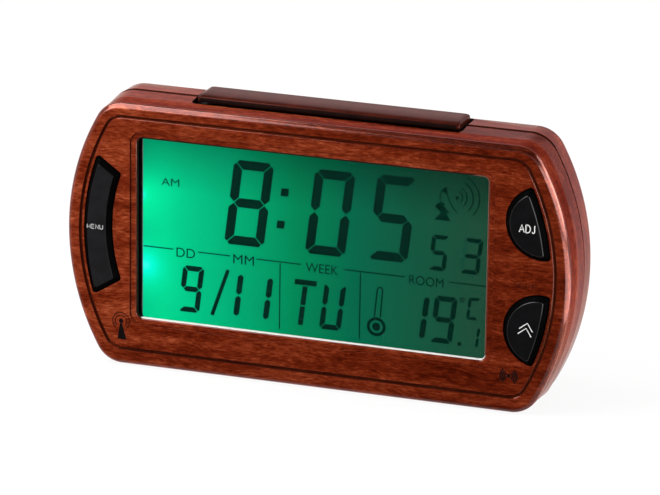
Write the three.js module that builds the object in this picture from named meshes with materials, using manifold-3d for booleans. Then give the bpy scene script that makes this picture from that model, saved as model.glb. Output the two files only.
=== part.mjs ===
// Radio-controlled alarm clock with a wood-look case, a back-lit display and a snooze bar.
// Millimetres. X to the right, Y from the front to the back, Z up.
// While the clock is built, Y = 0 is the front face and Z = 0 the middle of its height.
// At the end it is moved so that the origin lies under its middle, on the table.
import * as THREE from 'three';
import { mergeVertices } from 'three/addons/utils/BufferGeometryUtils.js';
import Module from 'manifold-3d';

// Case outline, seen from the front: flat top and bottom, sides that bulge as large arcs
const caseWidth = 147.8;
const caseHeight = 76.8;
const caseDepth = 38;
const sideRadius = 70;
const wall = 2.2;

// General clearances
const fitGap = 0.3;
const overrun = 1;
const mergeTolerance = 0.0003;

// Front shell
const front = {
  depth: 13.4, face: 2.4, corner: 5,
  edgeInset: 1.3, edgeRun: 6.5, seamProud: 0.4,
  grooveInset: 4.2, grooveWidth: 0.7, grooveDepth: 0.6, grooveCorner: 3.3,
};

// Rear shell: straight wall, then a taper to the back face; the bottom stays flat to stand on
const rear = {
  corner: 7, straight: 20.6, bend: 1.8, bendInset: 0.7,
  taperInset: 8.4, backRound: 2.4, backInset: 10.6, baseRound: 1.2,
};

// Window in the front face, and what lies behind it
const sideCentreX = caseWidth / 2 - sideRadius;
const cornerReach = Math.sqrt((sideRadius - front.corner) ** 2 - (caseHeight / 2 - front.corner) ** 2);
const viewWidestShare = 0.47;
const viewCornerShare = 0.53;
const viewHeightShare = 0.69401;
const viewSide = 14.805;
const viewReach = viewWidestShare * (caseWidth / 2) + viewCornerShare * (sideCentreX + cornerReach);
const view = {
  width: 2 * (viewReach - viewSide), height: caseHeight * viewHeightShare, x: -1.4, z: 1.9,
  corner: 1.8, bevelDepth: 0.8, bevelWidth: 1.8, bevelCorner: 3,
};
const lens = { thick: 1, border: 1.2 };
const glass = { thick: 1.1, border: 1.5, ledge: 3, lensGap: 0.6, seal: 0.1 };
const guide = { thick: 3, shortfall: 0.4 };
const reflector = { thick: 0.3 };
const frame = { wall: 1.2, backRoom: 1.5 };
const zebra = { thick: 1.6, endShort: 4 };
const led = { width: 3.5, length: 1.5, high: 2.4, upperZ: 12.3, lowerZ: -8.6 };

// Buttons: crescent at the left, two parts of a disc at the right
const button = {
  proud: 1.5, chamferInset: 1.1, edgeSoft: 0.3, edgeInset: 0.3, grooveClear: 1.1,
  flangeOut: 0.8, flangeThick: 1, stemRadius: 1.6, travel: 0.8, corner: 0.9,
};
const crescentHighShare = 0.29427;
const crescentLowShare = -0.2474;
const crescentInnerHighShare = 0.22786;
const crescentInnerLowShare = -0.17969;
const crescent = {
  highZ: caseHeight * crescentHighShare, lowZ: caseHeight * crescentLowShare,
  innerHighZ: caseHeight * crescentInnerHighShare, innerLowZ: caseHeight * crescentInnerLowShare,
  frameClear: 1.45, sag: 2.7,
};
const discPitchShare = 0.40495;
const discRadiusShare = 0.13802;
const disc = {
  radius: caseHeight * discRadiusShare, pitch: caseHeight * discPitchShare, z: 1.35,
  frameClear: 2.05, stemIn: 3.3,
};

// Snooze bar on the top, held in a recess that both shells share
const bar = {
  width: 79.2, frontY: 7.7, backY: 20.7, rise: 1.5, travel: 1.5,
  sideSlope: 2.2, edgeSlope: 1.1, brow: 0.6,
  neckWidth: 60, neckFrontY: 12.6, neckBackY: 16.8, hookOut: 0.8, hookThick: 1,
};
const recess = { depth: 2, shelf: 2.2, sideWall: 1.6 };

// Circuit board and what is on it
const boardHeightShare = 0.72917;
const sensorAcrossShare = 0.2977;
const sensorHighShare = -0.39286;
const board = { thick: 1.6, inset: 5, height: caseHeight * boardHeightShare, corner: 3 };
const post = {
  radius: 1.9, frameClear: 0.7, bore: 1.3, edge: 1.9, headRadius: 1.9, headHigh: 1.2, shank: 0.9,
};
const dome = { radius: 3, high: 2.2, topRadius: 2 };
const controller = { x: -16, z: 6, radius: 7, high: 1.6 };
const crystal = { x: 2, z: 8, radius: 1.5, length: 8 };
const sensor = { x: caseWidth * sensorAcrossShare, z: board.height * sensorHighShare, radius: 1.3 };
const snoozeSwitch = { width: 6, deep: 4.4, high: 4, capRadius: 1.3, capHigh: 1.2 };

// Screws that hold the shells together
const caseScrewShare = 0.41016;
const caseScrew = {
  z: caseHeight * caseScrewShare, sideRoom: 5.49, frontBoss: 3, rearBoss: 3.4, pilotStart: 4.5,
  bore: 1.5, headBore: 2.5, seat: 3.4, headRadius: 2.2, headHigh: 2, shank: 1.2, tipClear: 1,
};

// Battery bay for two AA cells that lie one above the other; another case takes cells to suit it
const cellDepthShare = 0.3;
const cellReachShare = 0.33356;
const cellNubShare = 0.38;
const cellSpringShare = 0.59;
const cellSpringTipShare = 0.34;
const cellPlateShare = 1.268;
const movementDepth = 14.333;
const cellRadius = (caseDepth - movementDepth) * cellDepthShare;
const cellClear = 1;
const cell = {
  radius: cellRadius, length: caseWidth * cellReachShare, nubRadius: cellRadius * cellNubShare,
  nubLength: 1.1, spacing: 2 * cellRadius + cellClear,
};
const bayShare = -0.16927;
const bay = {
  z: caseHeight * bayShare, wall: 1.2, depth: 2 * cellRadius + cellClear, springRoom: 4.6, sideRoom: 0.8,
};
const contact = {
  thick: 0.4, width: cellRadius * cellPlateShare, highRoom: 4.2, tab: 3, tabOut: 1.6,
  springRadius: cellRadius * cellSpringShare, springTip: cellRadius * cellSpringTipShare,
};
const door = {
  thick: 1.8, tabWidth: 6, tabX: 17, tabThick: 1.2, tabReach: 1.5, legHigh: 1.5,
  latchWidth: 12, latchHigh: 5, latchSlot: 0.8, grip: 0.5, grips: 3, gripPitch: 1.4,
  notchHigh: 4, notchDepth: 1.2,
};
const doorSwingShare = 1.15;

// Time signal receiver, buzzer and wires
const antennaShare = 0.23438;
const receiverAcrossShare = 0.31123;
const receiverHighShare = 0.10417;
const buzzerAcrossShare = -0.2977;
const buzzerHighShare = 0.13021;
const antenna = {
  rodRadius: 4, rodLength: 58, coilRadius: 5.6, coilLength: 26, y: 23.2, cradle: 2.4, cradleX: 22,
  z: caseHeight * antennaShare,
};
const receiver = {
  x: caseWidth * receiverAcrossShare, z: caseHeight * receiverHighShare,
  width: 18, high: 13, thick: 1.2, pad: 2, padWidth: 2.4,
};
const buzzer = {
  x: caseWidth * buzzerAcrossShare, z: caseHeight * buzzerHighShare,
  radius: 10, thick: 0.6, ring: 1.2, ringHigh: 2.4, hole: 1, holeRing: 4, holes: 6,
};
const lead = { radius: 0.6, sideReach: 4.8 };
const leadStepShares = [0, 0.4, 0.75, 1];

// Rubber feet
const foot = {
  radius: 3.5, proud: 0.9, sunk: 0.4, sideRoom: 25.9, frontY: 9.9, rearRoom: 6.5,
};

// Fineness of rounded outlines
const sideSteps = 7;
const cornerSteps = 4;
const roundSteps = 24;

const wasm = await Module();
wasm.setup();

// Solids, and how they are cut and joined

function toSolid(geometry) {
  const plain = geometry.clone();
  plain.deleteAttribute('normal');
  plain.deleteAttribute('uv');
  const merged = mergeVertices(plain, mergeTolerance);
  return new wasm.Manifold(new wasm.Mesh({
    numProp: 3,
    vertProperties: new Float32Array(merged.attributes.position.array),
    triVerts: new Uint32Array(merged.index.array),
  }));
}

function toGeometry(solid) {
  const mesh = solid.getMesh();
  const geometry = new THREE.BufferGeometry();
  geometry.setAttribute('position', new THREE.BufferAttribute(new Float32Array(mesh.vertProperties), 3));
  geometry.setIndex(new THREE.BufferAttribute(new Uint32Array(mesh.triVerts), 1));
  return geometry;
}

function join(first, ...others) {
  return others.reduce((sum, other) => sum.add(other), first);
}

function cut(first, ...others) {
  return others.reduce((rest, other) => rest.subtract(other), first);
}

function box([x0, x1], [y0, y1], [z0, z1]) {
  const geometry = new THREE.BoxGeometry(x1 - x0, y1 - y0, z1 - z0);
  geometry.translate((x0 + x1) / 2, (y0 + y1) / 2, (z0 + z1) / 2);
  return toSolid(geometry);
}

function around(middle, size) {
  return [middle - size / 2, middle + size / 2];
}

// Round bar along Y from y0 to y1; the two radii differ on a cone
function rodY(x, z, [y0, y1], radius, farRadius = radius, steps = roundSteps) {
  const geometry = new THREE.CylinderGeometry(farRadius, radius, y1 - y0, steps);
  geometry.translate(x, (y0 + y1) / 2, z);
  return toSolid(geometry);
}

function rodX([x0, x1], y, z, radius, farRadius = radius, steps = roundSteps) {
  const geometry = new THREE.CylinderGeometry(radius, farRadius, x1 - x0, steps);
  geometry.rotateZ(Math.PI / 2);
  geometry.translate((x0 + x1) / 2, y, z);
  return toSolid(geometry);
}

function rodZ(x, y, [z0, z1], radius, steps = roundSteps) {
  const geometry = new THREE.CylinderGeometry(radius, radius, z1 - z0, steps);
  geometry.rotateX(Math.PI / 2);
  geometry.translate(x, y, (z0 + z1) / 2);
  return toSolid(geometry);
}

function tube(points, radius) {
  const path = new THREE.CatmullRomCurve3(points.map((p) => new THREE.Vector3(...p)), false, 'centripetal');
  const section = new THREE.Shape();
  section.absarc(0, 0, radius, 0, 2 * Math.PI);
  const geometry = new THREE.ExtrudeGeometry(section, { steps: 16, curveSegments: 4, extrudePath: path });
  return toSolid(geometry);
}

// Outlines, as lists of [x, z] that run counter-clockwise seen from the front

function arc(x, z, radius, from, to, steps) {
  return Array.from({ length: steps + 1 }, (_, i) => {
    const angle = from + ((to - from) * i) / steps;
    return [x + radius * Math.cos(angle), z + radius * Math.sin(angle)];
  });
}

// Outline of the case, drawn in by inset; low is how far the bottom alone is drawn in
function caseOutline(inset, corner, low = inset) {
  const halfHeight = caseHeight / 2 - inset;
  const centreX = caseWidth / 2 - sideRadius;
  const radius = sideRadius - inset;
  const cornerZ = halfHeight - corner;
  const cornerX = centreX + Math.sqrt((radius - corner) ** 2 - cornerZ ** 2);
  const meet = Math.atan2(cornerZ, cornerX - centreX);
  const quarter = [
    ...arc(centreX, 0, radius, 0, meet, sideSteps),
    ...arc(cornerX, cornerZ, corner, meet, Math.PI / 2, cornerSteps).slice(1),
  ];
  const right = [...quarter.slice(1).reverse().map(([x, z]) => [x, -z]), ...quarter];
  const left = right.map(([x, z]) => [-x, -z]);
  const squeeze = (caseHeight / 2 - low) / halfHeight;
  return [...right, ...left].map(([x, z]) => [x, z < 0 ? z * squeeze : z]);
}

function roundedBox(x, z, width, height, corner) {
  const dx = width / 2 - corner;
  const dz = height / 2 - corner;
  const quarter = Math.PI / 2;
  return [[dx, dz, 0], [-dx, dz, 1], [-dx, -dz, 2], [dx, -dz, 3]].flatMap(([cx, cz, turn]) =>
    arc(x + cx, z + cz, corner, turn * quarter, (turn + 1) * quarter, cornerSteps));
}

// Moves each edge of an outline inwards (outwards when distance is negative)
function drawnIn(outline, distance) {
  const count = outline.length;
  return outline.map(([x, z], i) => {
    const [px, pz] = outline[(i + count - 1) % count];
    const [nx, nz] = outline[(i + 1) % count];
    const before = new THREE.Vector2(x - px, z - pz).normalize();
    const after = new THREE.Vector2(nx - x, nz - z).normalize();
    const mid = new THREE.Vector2(-(before.y + after.y), before.x + after.x).normalize();
    const reach = distance / (mid.x * -after.y + mid.y * after.x);
    return [x + mid.x * reach, z + mid.y * reach];
  });
}

// Rounds the sharp corners of an outline
function softened(outline, radius) {
  const sharp = Math.cos(Math.PI / 8);
  const count = outline.length;
  return outline.flatMap(([x, z], i) => {
    const here = new THREE.Vector2(x, z);
    const before = new THREE.Vector2(...outline[(i + count - 1) % count]).sub(here);
    const after = new THREE.Vector2(...outline[(i + 1) % count]).sub(here);
    if (-before.dot(after) > sharp * before.length() * after.length()) return [[x, z]];
    const start = here.clone().add(before.setLength(radius));
    const end = here.clone().add(after.setLength(radius));
    const curve = new THREE.QuadraticBezierCurve(start, here, end);
    return curve.getPoints(cornerSteps).map((p) => [p.x, p.y]);
  });
}

// Solid through a row of outlines with the same number of points, from the front to the back
function loft(sections) {
  const count = sections[0].outline.length;
  const positions = sections.flatMap(({ y, outline }) => outline.flatMap(([x, z]) => [x, y, z]));
  const faces = THREE.ShapeUtils.triangulateShape(
    sections[0].outline.map(([x, z]) => new THREE.Vector2(x, z)), []);
  const last = (sections.length - 1) * count;
  const index = faces.flatMap(([a, b, c]) => [a, b, c, last + c, last + b, last + a]);
  for (let s = 0; s + 1 < sections.length; s += 1) {
    for (let i = 0; i < count; i += 1) {
      const a = s * count + i;
      const b = s * count + ((i + 1) % count);
      index.push(a, a + count, b, b, a + count, b + count);
    }
  }
  const geometry = new THREE.BufferGeometry();
  geometry.setAttribute('position', new THREE.Float32BufferAttribute(positions, 3));
  geometry.setIndex(index);
  return toSolid(geometry);
}

function slab(outline, [y0, y1]) {
  return loft([{ y: y0, outline }, { y: y1, outline }]);
}

// Places that follow from the sizes above

const topZ = caseHeight / 2;
const bottomZ = -topZ;
const glassWidth = view.width + 2 * glass.border;
const glassHeight = view.height + 2 * glass.border;
const frameWidth = glassWidth + 2 * (fitGap + frame.wall);
const frameHeight = glassHeight + 2 * (fitGap + frame.wall);
const lensBackY = front.face + fitGap;
const lensFrontY = lensBackY - lens.thick;
const glassY = lensBackY + glass.lensGap;
const rearGlassY = glassY + glass.thick;
const guideY = rearGlassY + glass.thick + fitGap;
const reflectorY = guideY + guide.thick + fitGap;
const frameFrontY = front.face + fitGap;
const frameBackY = reflectorY + reflector.thick + frame.backRoom;
const boardY = frameBackY + fitGap;
const boardBackY = boardY + board.thick;
const seatY = boardBackY + fitGap;
const innerX = view.x - frameWidth / 2 - crescent.frameClear;
const discX = view.x + frameWidth / 2 + disc.frameClear + disc.radius;
const discStemX = discX - disc.stemIn;
const flangeY = front.face + fitGap;
const flangeBackY = flangeY + button.flangeThick;
const keyRadius = sideRadius - front.grooveInset - button.grooveClear;
const screwRing = sideRadius - caseScrew.sideRoom;
const screwX = sideCentreX + Math.sqrt(screwRing ** 2 - caseScrew.z ** 2);
const footX = caseWidth / 2 - foot.sideRoom;
const rearFootY = caseDepth - foot.rearRoom;
const recessFloorZ = topZ - recess.depth;
const shelfZ = recessFloorZ - recess.shelf;
const barZ = recessFloorZ + bar.travel + fitGap;
const hookZ = shelfZ - fitGap;
const doorY = caseDepth - door.thick;
const ledgeY = doorY - fitGap;
const bayFrontY = ledgeY - bay.depth;
const bayWidth = cell.length + cell.nubLength + bay.springRoom + 2 * (contact.thick + fitGap);
const bayHeight = cell.spacing + 2 * (cell.radius + bay.sideRoom);
const doorWidth = bayWidth + 2 * bay.wall;
const doorHeight = bayHeight + 2 * bay.wall;
const doorLowZ = bay.z - doorHeight / 2;
const cellY = bayFrontY + fitGap + cell.radius;
const backInsideY = caseDepth - wall;
const headSeatY = front.depth + fitGap + caseScrew.seat;
const postXs = [
  view.x - frameWidth / 2 - post.frameClear - post.radius,
  view.x + frameWidth / 2 + post.frameClear + post.radius,
];
const postZ = board.height / 2 - post.edge;
const corners = [[-1, 1], [1, 1], [-1, -1], [1, -1]];

// Outlines of the buttons, drawn in from their openings by inset

function crescentOutline(inset) {
  const outerHigh = Math.asin(crescent.highZ / keyRadius);
  const outerLow = Math.asin(crescent.lowZ / keyRadius);
  const half = (crescent.innerHighZ - crescent.innerLowZ) / 2;
  const middle = (crescent.innerHighZ + crescent.innerLowZ) / 2;
  const radius = (half ** 2 + crescent.sag ** 2) / (2 * crescent.sag);
  const spread = Math.asin(half / radius);
  const centreX = innerX - crescent.sag + radius;
  const outer = arc(-sideCentreX, 0, keyRadius, Math.PI - outerHigh, Math.PI - outerLow, 2 * cornerSteps);
  const inner = arc(centreX, middle, radius, Math.PI + spread, Math.PI - spread, 2 * cornerSteps);
  return softened(drawnIn([...outer, ...inner], inset), button.corner);
}

function discOutline(side, inset) {
  const z = disc.z + (side * disc.pitch) / 2;
  const across = discX - sideCentreX;
  const reach = Math.hypot(across, z);
  const tilt = Math.atan2(z, across);
  const outer = keyRadius - inset;
  const radius = disc.radius - inset;
  const open = Math.acos((outer ** 2 + reach ** 2 - radius ** 2) / (2 * outer * reach));
  const keyArc = arc(sideCentreX, 0, outer, tilt - open, tilt + open, 2 * cornerSteps);
  const [topX, topEdgeZ] = keyArc[keyArc.length - 1];
  const [lowX, lowEdgeZ] = keyArc[0];
  const from = Math.atan2(topEdgeZ - z, topX - discX);
  const to = Math.atan2(lowEdgeZ - z, lowX - discX) + 2 * Math.PI;
  const round = arc(discX, z, radius, from, to, 4 * cornerSteps).slice(1, -1);
  return softened([...keyArc, ...round], button.corner);
}

const modeKey = (inset) => crescentOutline(inset);
const setKey = (inset) => discOutline(1, inset);
const upKey = (inset) => discOutline(-1, inset);
const modeStemZ = (crescent.highZ + crescent.lowZ) / 2;
const modeStemX = (innerX - crescent.sag - sideCentreX - keyRadius) / 2;
const setStemZ = disc.z + disc.pitch / 2;
const upStemZ = disc.z - disc.pitch / 2;

// Shells

function frontShellOutside() {
  const steps = 4;
  const rounded = Array.from({ length: steps + 1 }, (_, i) => {
    const angle = (i / steps) * (Math.PI / 2);
    const inset = front.edgeInset * (1 - Math.sin(angle));
    return { y: front.edgeRun * (1 - Math.cos(angle)), outline: caseOutline(inset, front.corner) };
  });
  const seam = { y: front.depth, outline: caseOutline(-front.seamProud, front.corner + front.seamProud) };
  return loft([...rounded, seam]);
}

function grooveRing() {
  const half = front.grooveWidth / 2;
  const [outer, inner] = [-half, half].map((step) => slab(
    caseOutline(front.grooveInset + step, front.grooveCorner - step), [-overrun, front.grooveDepth]));
  return cut(outer, inner);
}

function windowCut() {
  const { width, height, x, z, corner, bevelDepth, bevelWidth, bevelCorner } = view;
  const lip = roundedBox(x, z, width, height, corner);
  const over = bevelWidth * (overrun / bevelDepth);
  const mouthWidth = width + 2 * (bevelWidth + over);
  const mouth = roundedBox(x, z, mouthWidth, height + 2 * (bevelWidth + over), bevelCorner + over);
  const bevel = loft([{ y: -overrun, outline: mouth }, { y: bevelDepth, outline: lip }]);
  const through = slab(lip, [0, front.face + overrun]);
  const border = lens.border + fitGap;
  const rebate = slab(roundedBox(x, z, width + 2 * border, height + 2 * border, corner + border),
    [lensFrontY - fitGap, front.face + overrun]);
  return join(bevel, through, rebate);
}

// The recess for the snooze bar, its floor and the slot that the bar's neck passes through
function recessBody([y0, y1]) {
  const halfWidth = bar.width / 2 + fitGap + recess.sideWall;
  return box([-halfWidth, halfWidth], [y0, y1], [shelfZ, topZ - wall / 2]);
}

function recessCut() {
  const halfWidth = bar.width / 2 + fitGap;
  const opening = box([-halfWidth, halfWidth], [bar.frontY - fitGap, bar.backY + fitGap],
    [recessFloorZ, topZ + overrun]);
  const halfNeck = bar.neckWidth / 2 + fitGap;
  const slot = box([-halfNeck, halfNeck], [bar.neckFrontY - fitGap, bar.neckBackY + fitGap],
    [shelfZ - overrun, recessFloorZ + overrun]);
  return join(opening, slot);
}

function footPockets(y) {
  return [-1, 1].map((side) => rodZ(side * footX, y,
    [bottomZ - front.seamProud - overrun, bottomZ + foot.sunk + fitGap], foot.radius + fitGap));
}

function frontCase() {
  const inside = slab(caseOutline(wall, front.corner - wall), [front.face, front.depth + overrun]);
  const bosses = corners.map(([sx, sz]) =>
    rodY(sx * screwX, sz * caseScrew.z, [front.face / 2, front.depth], caseScrew.frontBoss));
  const pilots = corners.map(([sx, sz]) => rodY(sx * screwX, sz * caseScrew.z,
    [caseScrew.pilotStart, front.depth + overrun], caseScrew.bore, caseScrew.bore, roundSteps / 2));
  const boardPosts = postXs.flatMap((x) => [-1, 1].map((side) =>
    rodY(x, side * postZ, [front.face / 2, frameBackY], post.radius)));
  const postBores = postXs.flatMap((x) => [-1, 1].map((side) =>
    rodY(x, side * postZ, [front.face, frameBackY + overrun], post.bore, post.bore, roundSteps / 2)));
  const keys = [modeKey, setKey, upKey].map((key) => slab(key(0), [-overrun, front.face + overrun]));
  const shell = cut(frontShellOutside(), inside);
  const shelf = recessBody([bar.frontY - fitGap - recess.sideWall, front.depth]);
  const body = join(shell, shelf, ...bosses, ...boardPosts);
  return cut(body, ...pilots, ...postBores, ...keys, grooveRing(), windowCut(), recessCut(),
    ...footPockets(foot.frontY));
}

function rearShellOutside() {
  const startY = front.depth + fitGap;
  const { corner, straight, bend, bendInset, taperInset, backRound, backInset, baseRound } = rear;
  return loft([
    { y: startY, outline: caseOutline(0, corner) },
    { y: straight, outline: caseOutline(0, corner) },
    { y: straight + bend, outline: caseOutline(bendInset, corner, 0) },
    { y: caseDepth - backRound, outline: caseOutline(taperInset, corner, 0) },
    { y: caseDepth, outline: caseOutline(backInset, corner, baseRound) },
  ]);
}

function rearShellInside() {
  const { corner, straight, bend, bendInset, taperInset, backRound } = rear;
  const slope = (taperInset - bendInset) / (caseDepth - backRound - straight - bend);
  const deeper = wall * Math.hypot(1, slope);
  const endInset = taperInset + deeper - slope * (wall - backRound);
  return loft([
    { y: front.depth - overrun, outline: caseOutline(wall, corner - wall) },
    { y: straight, outline: caseOutline(wall, corner - wall) },
    { y: straight + bend, outline: caseOutline(bendInset + deeper, corner - wall, wall) },
    { y: backInsideY, outline: caseOutline(endInset, corner - wall, wall) },
  ]);
}

function soundHoles() {
  const reach = [backInsideY - overrun, caseDepth + overrun];
  const ring = Array.from({ length: buzzer.holes }, (_, i) => {
    const angle = (i / buzzer.holes) * 2 * Math.PI;
    return rodY(buzzer.x + buzzer.holeRing * Math.cos(angle), buzzer.z + buzzer.holeRing * Math.sin(angle),
      reach, buzzer.hole, buzzer.hole, roundSteps / 2);
  });
  return [rodY(buzzer.x, buzzer.z, reach, buzzer.hole, buzzer.hole, roundSteps / 2), ...ring];
}

function buzzerSeat() {
  const reach = [backInsideY - buzzer.ringHigh, backInsideY + overrun];
  return cut(rodY(buzzer.x, buzzer.z, reach, buzzer.radius),
    rodY(buzzer.x, buzzer.z, [reach[0] - overrun, backInsideY], buzzer.radius - buzzer.ring));
}

function receiverPads() {
  return [-1, 1].map((side) => {
    const x = receiver.x + (side * (receiver.width - receiver.padWidth)) / 2;
    return box(around(x, receiver.padWidth), [backInsideY - receiver.pad, backInsideY + wall / 2],
      around(receiver.z, receiver.high));
  });
}

// Two saddles on ribs that carry the ferrite rod
function antennaCradles() {
  return [-1, 1].map((side) => {
    const rib = box(around(side * antenna.cradleX, antenna.cradle),
      [antenna.y, backInsideY + wall / 2], around(antenna.z, 2 * antenna.rodRadius));
    return cut(rib, rodX([-antenna.rodLength, antenna.rodLength], antenna.y, antenna.z,
      antenna.rodRadius + fitGap));
  });
}

function bayBody() {
  const halfWidth = bayWidth / 2 + bay.wall;
  return box([-halfWidth, halfWidth], [bayFrontY - bay.wall, ledgeY], around(bay.z, doorHeight));
}

function bayCuts() {
  const inside = box(around(0, bayWidth), [bayFrontY, caseDepth + overrun], around(bay.z, bayHeight));
  const pocket = box(around(0, doorWidth + 2 * fitGap), [ledgeY, caseDepth + overrun],
    around(bay.z, doorHeight + 2 * fitGap));
  const notch = box(around(0, door.latchWidth), [caseDepth - door.notchDepth, caseDepth + overrun],
    [doorLowZ + doorHeight, doorLowZ + doorHeight + door.notchHigh]);
  const swing = Math.hypot(door.thick + door.tabThick + 2 * fitGap, door.tabReach) * doorSwingShare;
  const tabSlots = [-1, 1].map((side) => box(around(side * door.tabX, door.tabWidth + 2 * fitGap),
    [caseDepth - swing, ledgeY + fitGap],
    [doorLowZ - door.tabReach - fitGap, doorLowZ + bay.wall + fitGap]));
  const contactSlots = tabPlaces.map(({ x, z }) => box(around(x, contact.thick + 2 * fitGap),
    [bayFrontY - bay.wall - overrun, bayFrontY + overrun], around(z, contact.tab + 2 * fitGap)));
  return [inside, pocket, notch, ...tabSlots, ...contactSlots];
}

function rearCase() {
  const outside = rearShellOutside();
  const bosses = corners.map(([sx, sz]) =>
    rodY(sx * screwX, sz * caseScrew.z, [front.depth + fitGap, caseDepth], caseScrew.rearBoss));
  const bores = corners.flatMap(([sx, sz]) => [
    rodY(sx * screwX, sz * caseScrew.z, [headSeatY, caseDepth + overrun], caseScrew.headBore),
    rodY(sx * screwX, sz * caseScrew.z, [front.depth - overrun, headSeatY + overrun],
      caseScrew.bore, caseScrew.bore, roundSteps / 2),
  ]);
  const backWallY = bar.backY + fitGap + recess.sideWall;
  const shelf = recessBody([front.depth + fitGap, backWallY]);
  const shell = cut(outside, rearShellInside());
  const inner = join(shelf, bayBody(), buzzerSeat(), ...bosses, ...receiverPads(), ...antennaCradles());
  return cut(join(shell, inner.intersect(outside)), ...bores, recessCut(), ...soundHoles(), ...bayCuts(),
    ...footPockets(rearFootY));
}

// Snooze bar: bevelled cap, neck through the slot, hook that stops it from coming out

function snoozeBar() {
  const halfWidth = bar.width / 2;
  const profile = (halfLength, frontY, backY, z) =>
    [[halfLength, frontY, z], [halfLength, backY, z], [-halfLength, backY, z], [-halfLength, frontY, z]];
  const brow = barZ + bar.brow;
  const rise = topZ + bar.rise;
  const layers = [
    profile(halfWidth, bar.frontY, bar.backY, barZ),
    profile(halfWidth, bar.frontY, bar.backY, brow),
    profile(halfWidth - bar.sideSlope, bar.frontY + bar.edgeSlope, bar.backY - bar.edgeSlope, rise),
  ];
  const cap = stack(layers);
  const neck = box(around(0, bar.neckWidth), [bar.neckFrontY, bar.neckBackY],
    [hookZ - bar.hookThick, brow]);
  const hook = box(around(0, bar.neckWidth),
    [bar.neckFrontY - bar.hookOut, bar.neckBackY + bar.hookOut], [hookZ - bar.hookThick, hookZ]);
  return join(cap, neck, hook);
}

// Solid through level rings of four corners, from the lowest to the highest
function stack(layers) {
  const positions = layers.flatMap((ring) => ring.flat());
  const count = 4;
  const last = (layers.length - 1) * count;
  const index = [0, 2, 1, 0, 3, 2, last, last + 1, last + 2, last, last + 2, last + 3];
  for (let s = 0; s + 1 < layers.length; s += 1) {
    for (let i = 0; i < count; i += 1) {
      const a = s * count + i;
      const b = s * count + ((i + 1) % count);
      index.push(a, b, b + count, a, b + count, a + count);
    }
  }
  const geometry = new THREE.BufferGeometry();
  geometry.setAttribute('position', new THREE.Float32BufferAttribute(positions, 3));
  geometry.setIndex(index);
  return toSolid(geometry);
}

// Front buttons: bevelled cap, flange behind the front face, stem towards the dome

function keyButton(key, stemX, stemZ) {
  const body = loft([
    { y: -button.proud, outline: key(fitGap + button.chamferInset + button.edgeInset) },
    { y: button.edgeSoft - button.proud, outline: key(fitGap + button.chamferInset) },
    { y: 0, outline: key(fitGap) },
    { y: flangeY + button.flangeThick / 2, outline: key(fitGap) },
  ]);
  const flange = slab(key(-button.flangeOut), [flangeY, flangeBackY]);
  const stemEndY = boardY - fitGap - dome.high - button.travel - fitGap;
  const stem = rodY(stemX, stemZ, [flangeY, stemEndY], button.stemRadius);
  return join(body, flange, stem);
}

function keyDome(x, z) {
  return rodY(x, z, [boardY - fitGap - dome.high, boardY - fitGap], dome.topRadius, dome.radius);
}

// Display

function displayLens() {
  const { x, z, width, height, corner } = view;
  return slab(roundedBox(x, z, width + 2 * lens.border, height + 2 * lens.border, corner + lens.border),
    [lensFrontY, lensBackY]);
}

function lcdFrontGlass() {
  return box(around(view.x, glassWidth), [glassY, glassY + glass.thick - glass.seal],
    around(view.z, glassHeight));
}

function lcdRearGlass() {
  return box(around(view.x, glassWidth), [rearGlassY, rearGlassY + glass.thick],
    [view.z - glassHeight / 2 + glass.ledge, view.z + glassHeight / 2]);
}

const guideX = [view.x - view.width / 2 + fitGap, view.x + glassWidth / 2 - guide.shortfall];
const guideZ = [view.z - glassHeight / 2 + glass.ledge, view.z + glassHeight / 2 - guide.shortfall];

function lightGuide() {
  return box(guideX, [guideY, guideY + guide.thick], guideZ);
}

function reflectorSheet() {
  return box(guideX, [reflectorY, reflectorY + reflector.thick], guideZ);
}

function zebraStrip() {
  const z = view.z - glassHeight / 2 + zebra.thick / 2;
  return box(around(view.x, view.width - 2 * zebra.endShort), [rearGlassY + fitGap, boardY - fitGap],
    [z - zebra.thick / 2, z + zebra.thick / 2]);
}

function backlightLed(z) {
  const x1 = guideX[0] - fitGap;
  return box([x1 - led.length, x1], around(guideY + guide.thick / 2, led.high), around(z, led.width));
}

// Frame round the glass, with a step behind it that carries glass and light guide
function lcdFrame() {
  const pocket = box(around(view.x, glassWidth + 2 * fitGap), [frameFrontY - overrun, frameBackY + overrun],
    around(view.z, glassHeight + 2 * fitGap));
  return cut(box(around(view.x, frameWidth), [frameFrontY, frameBackY], around(view.z, frameHeight)), pocket);
}

// Circuit board and its parts

function boardOutline() {
  const outline = caseOutline(board.inset, board.corner);
  const limit = board.height / 2;
  return outline.map(([x, z]) => [x, Math.max(-limit, Math.min(limit, z))]);
}

function mainBoard() {
  const holes = postXs.flatMap((x) => [-1, 1].map((side) => rodY(x, side * postZ,
    [boardY - overrun, boardBackY + overrun], post.bore, post.bore, roundSteps / 2)));
  return cut(slab(boardOutline(), [boardY, boardBackY]), ...holes);
}

function boardScrew(x, z) {
  const head = rodY(x, z, [seatY, seatY + post.headHigh], post.headRadius);
  const shank = rodY(x, z, [front.face + fitGap, seatY + post.headHigh / 2], post.shank, post.shank,
    roundSteps / 2);
  return join(head, shank);
}

function controllerBlob() {
  return rodY(controller.x, controller.z, [seatY, seatY + controller.high], controller.radius,
    controller.radius / 2);
}

function quartzCrystal() {
  return rodX([crystal.x, crystal.x + crystal.length], seatY + crystal.radius, crystal.z, crystal.radius,
    crystal.radius, roundSteps / 2);
}

function temperatureSensor() {
  const bead = new THREE.SphereGeometry(sensor.radius, roundSteps / 2, roundSteps / 3);
  bead.translate(sensor.x, seatY + sensor.radius, sensor.z);
  return toSolid(bead);
}

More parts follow.
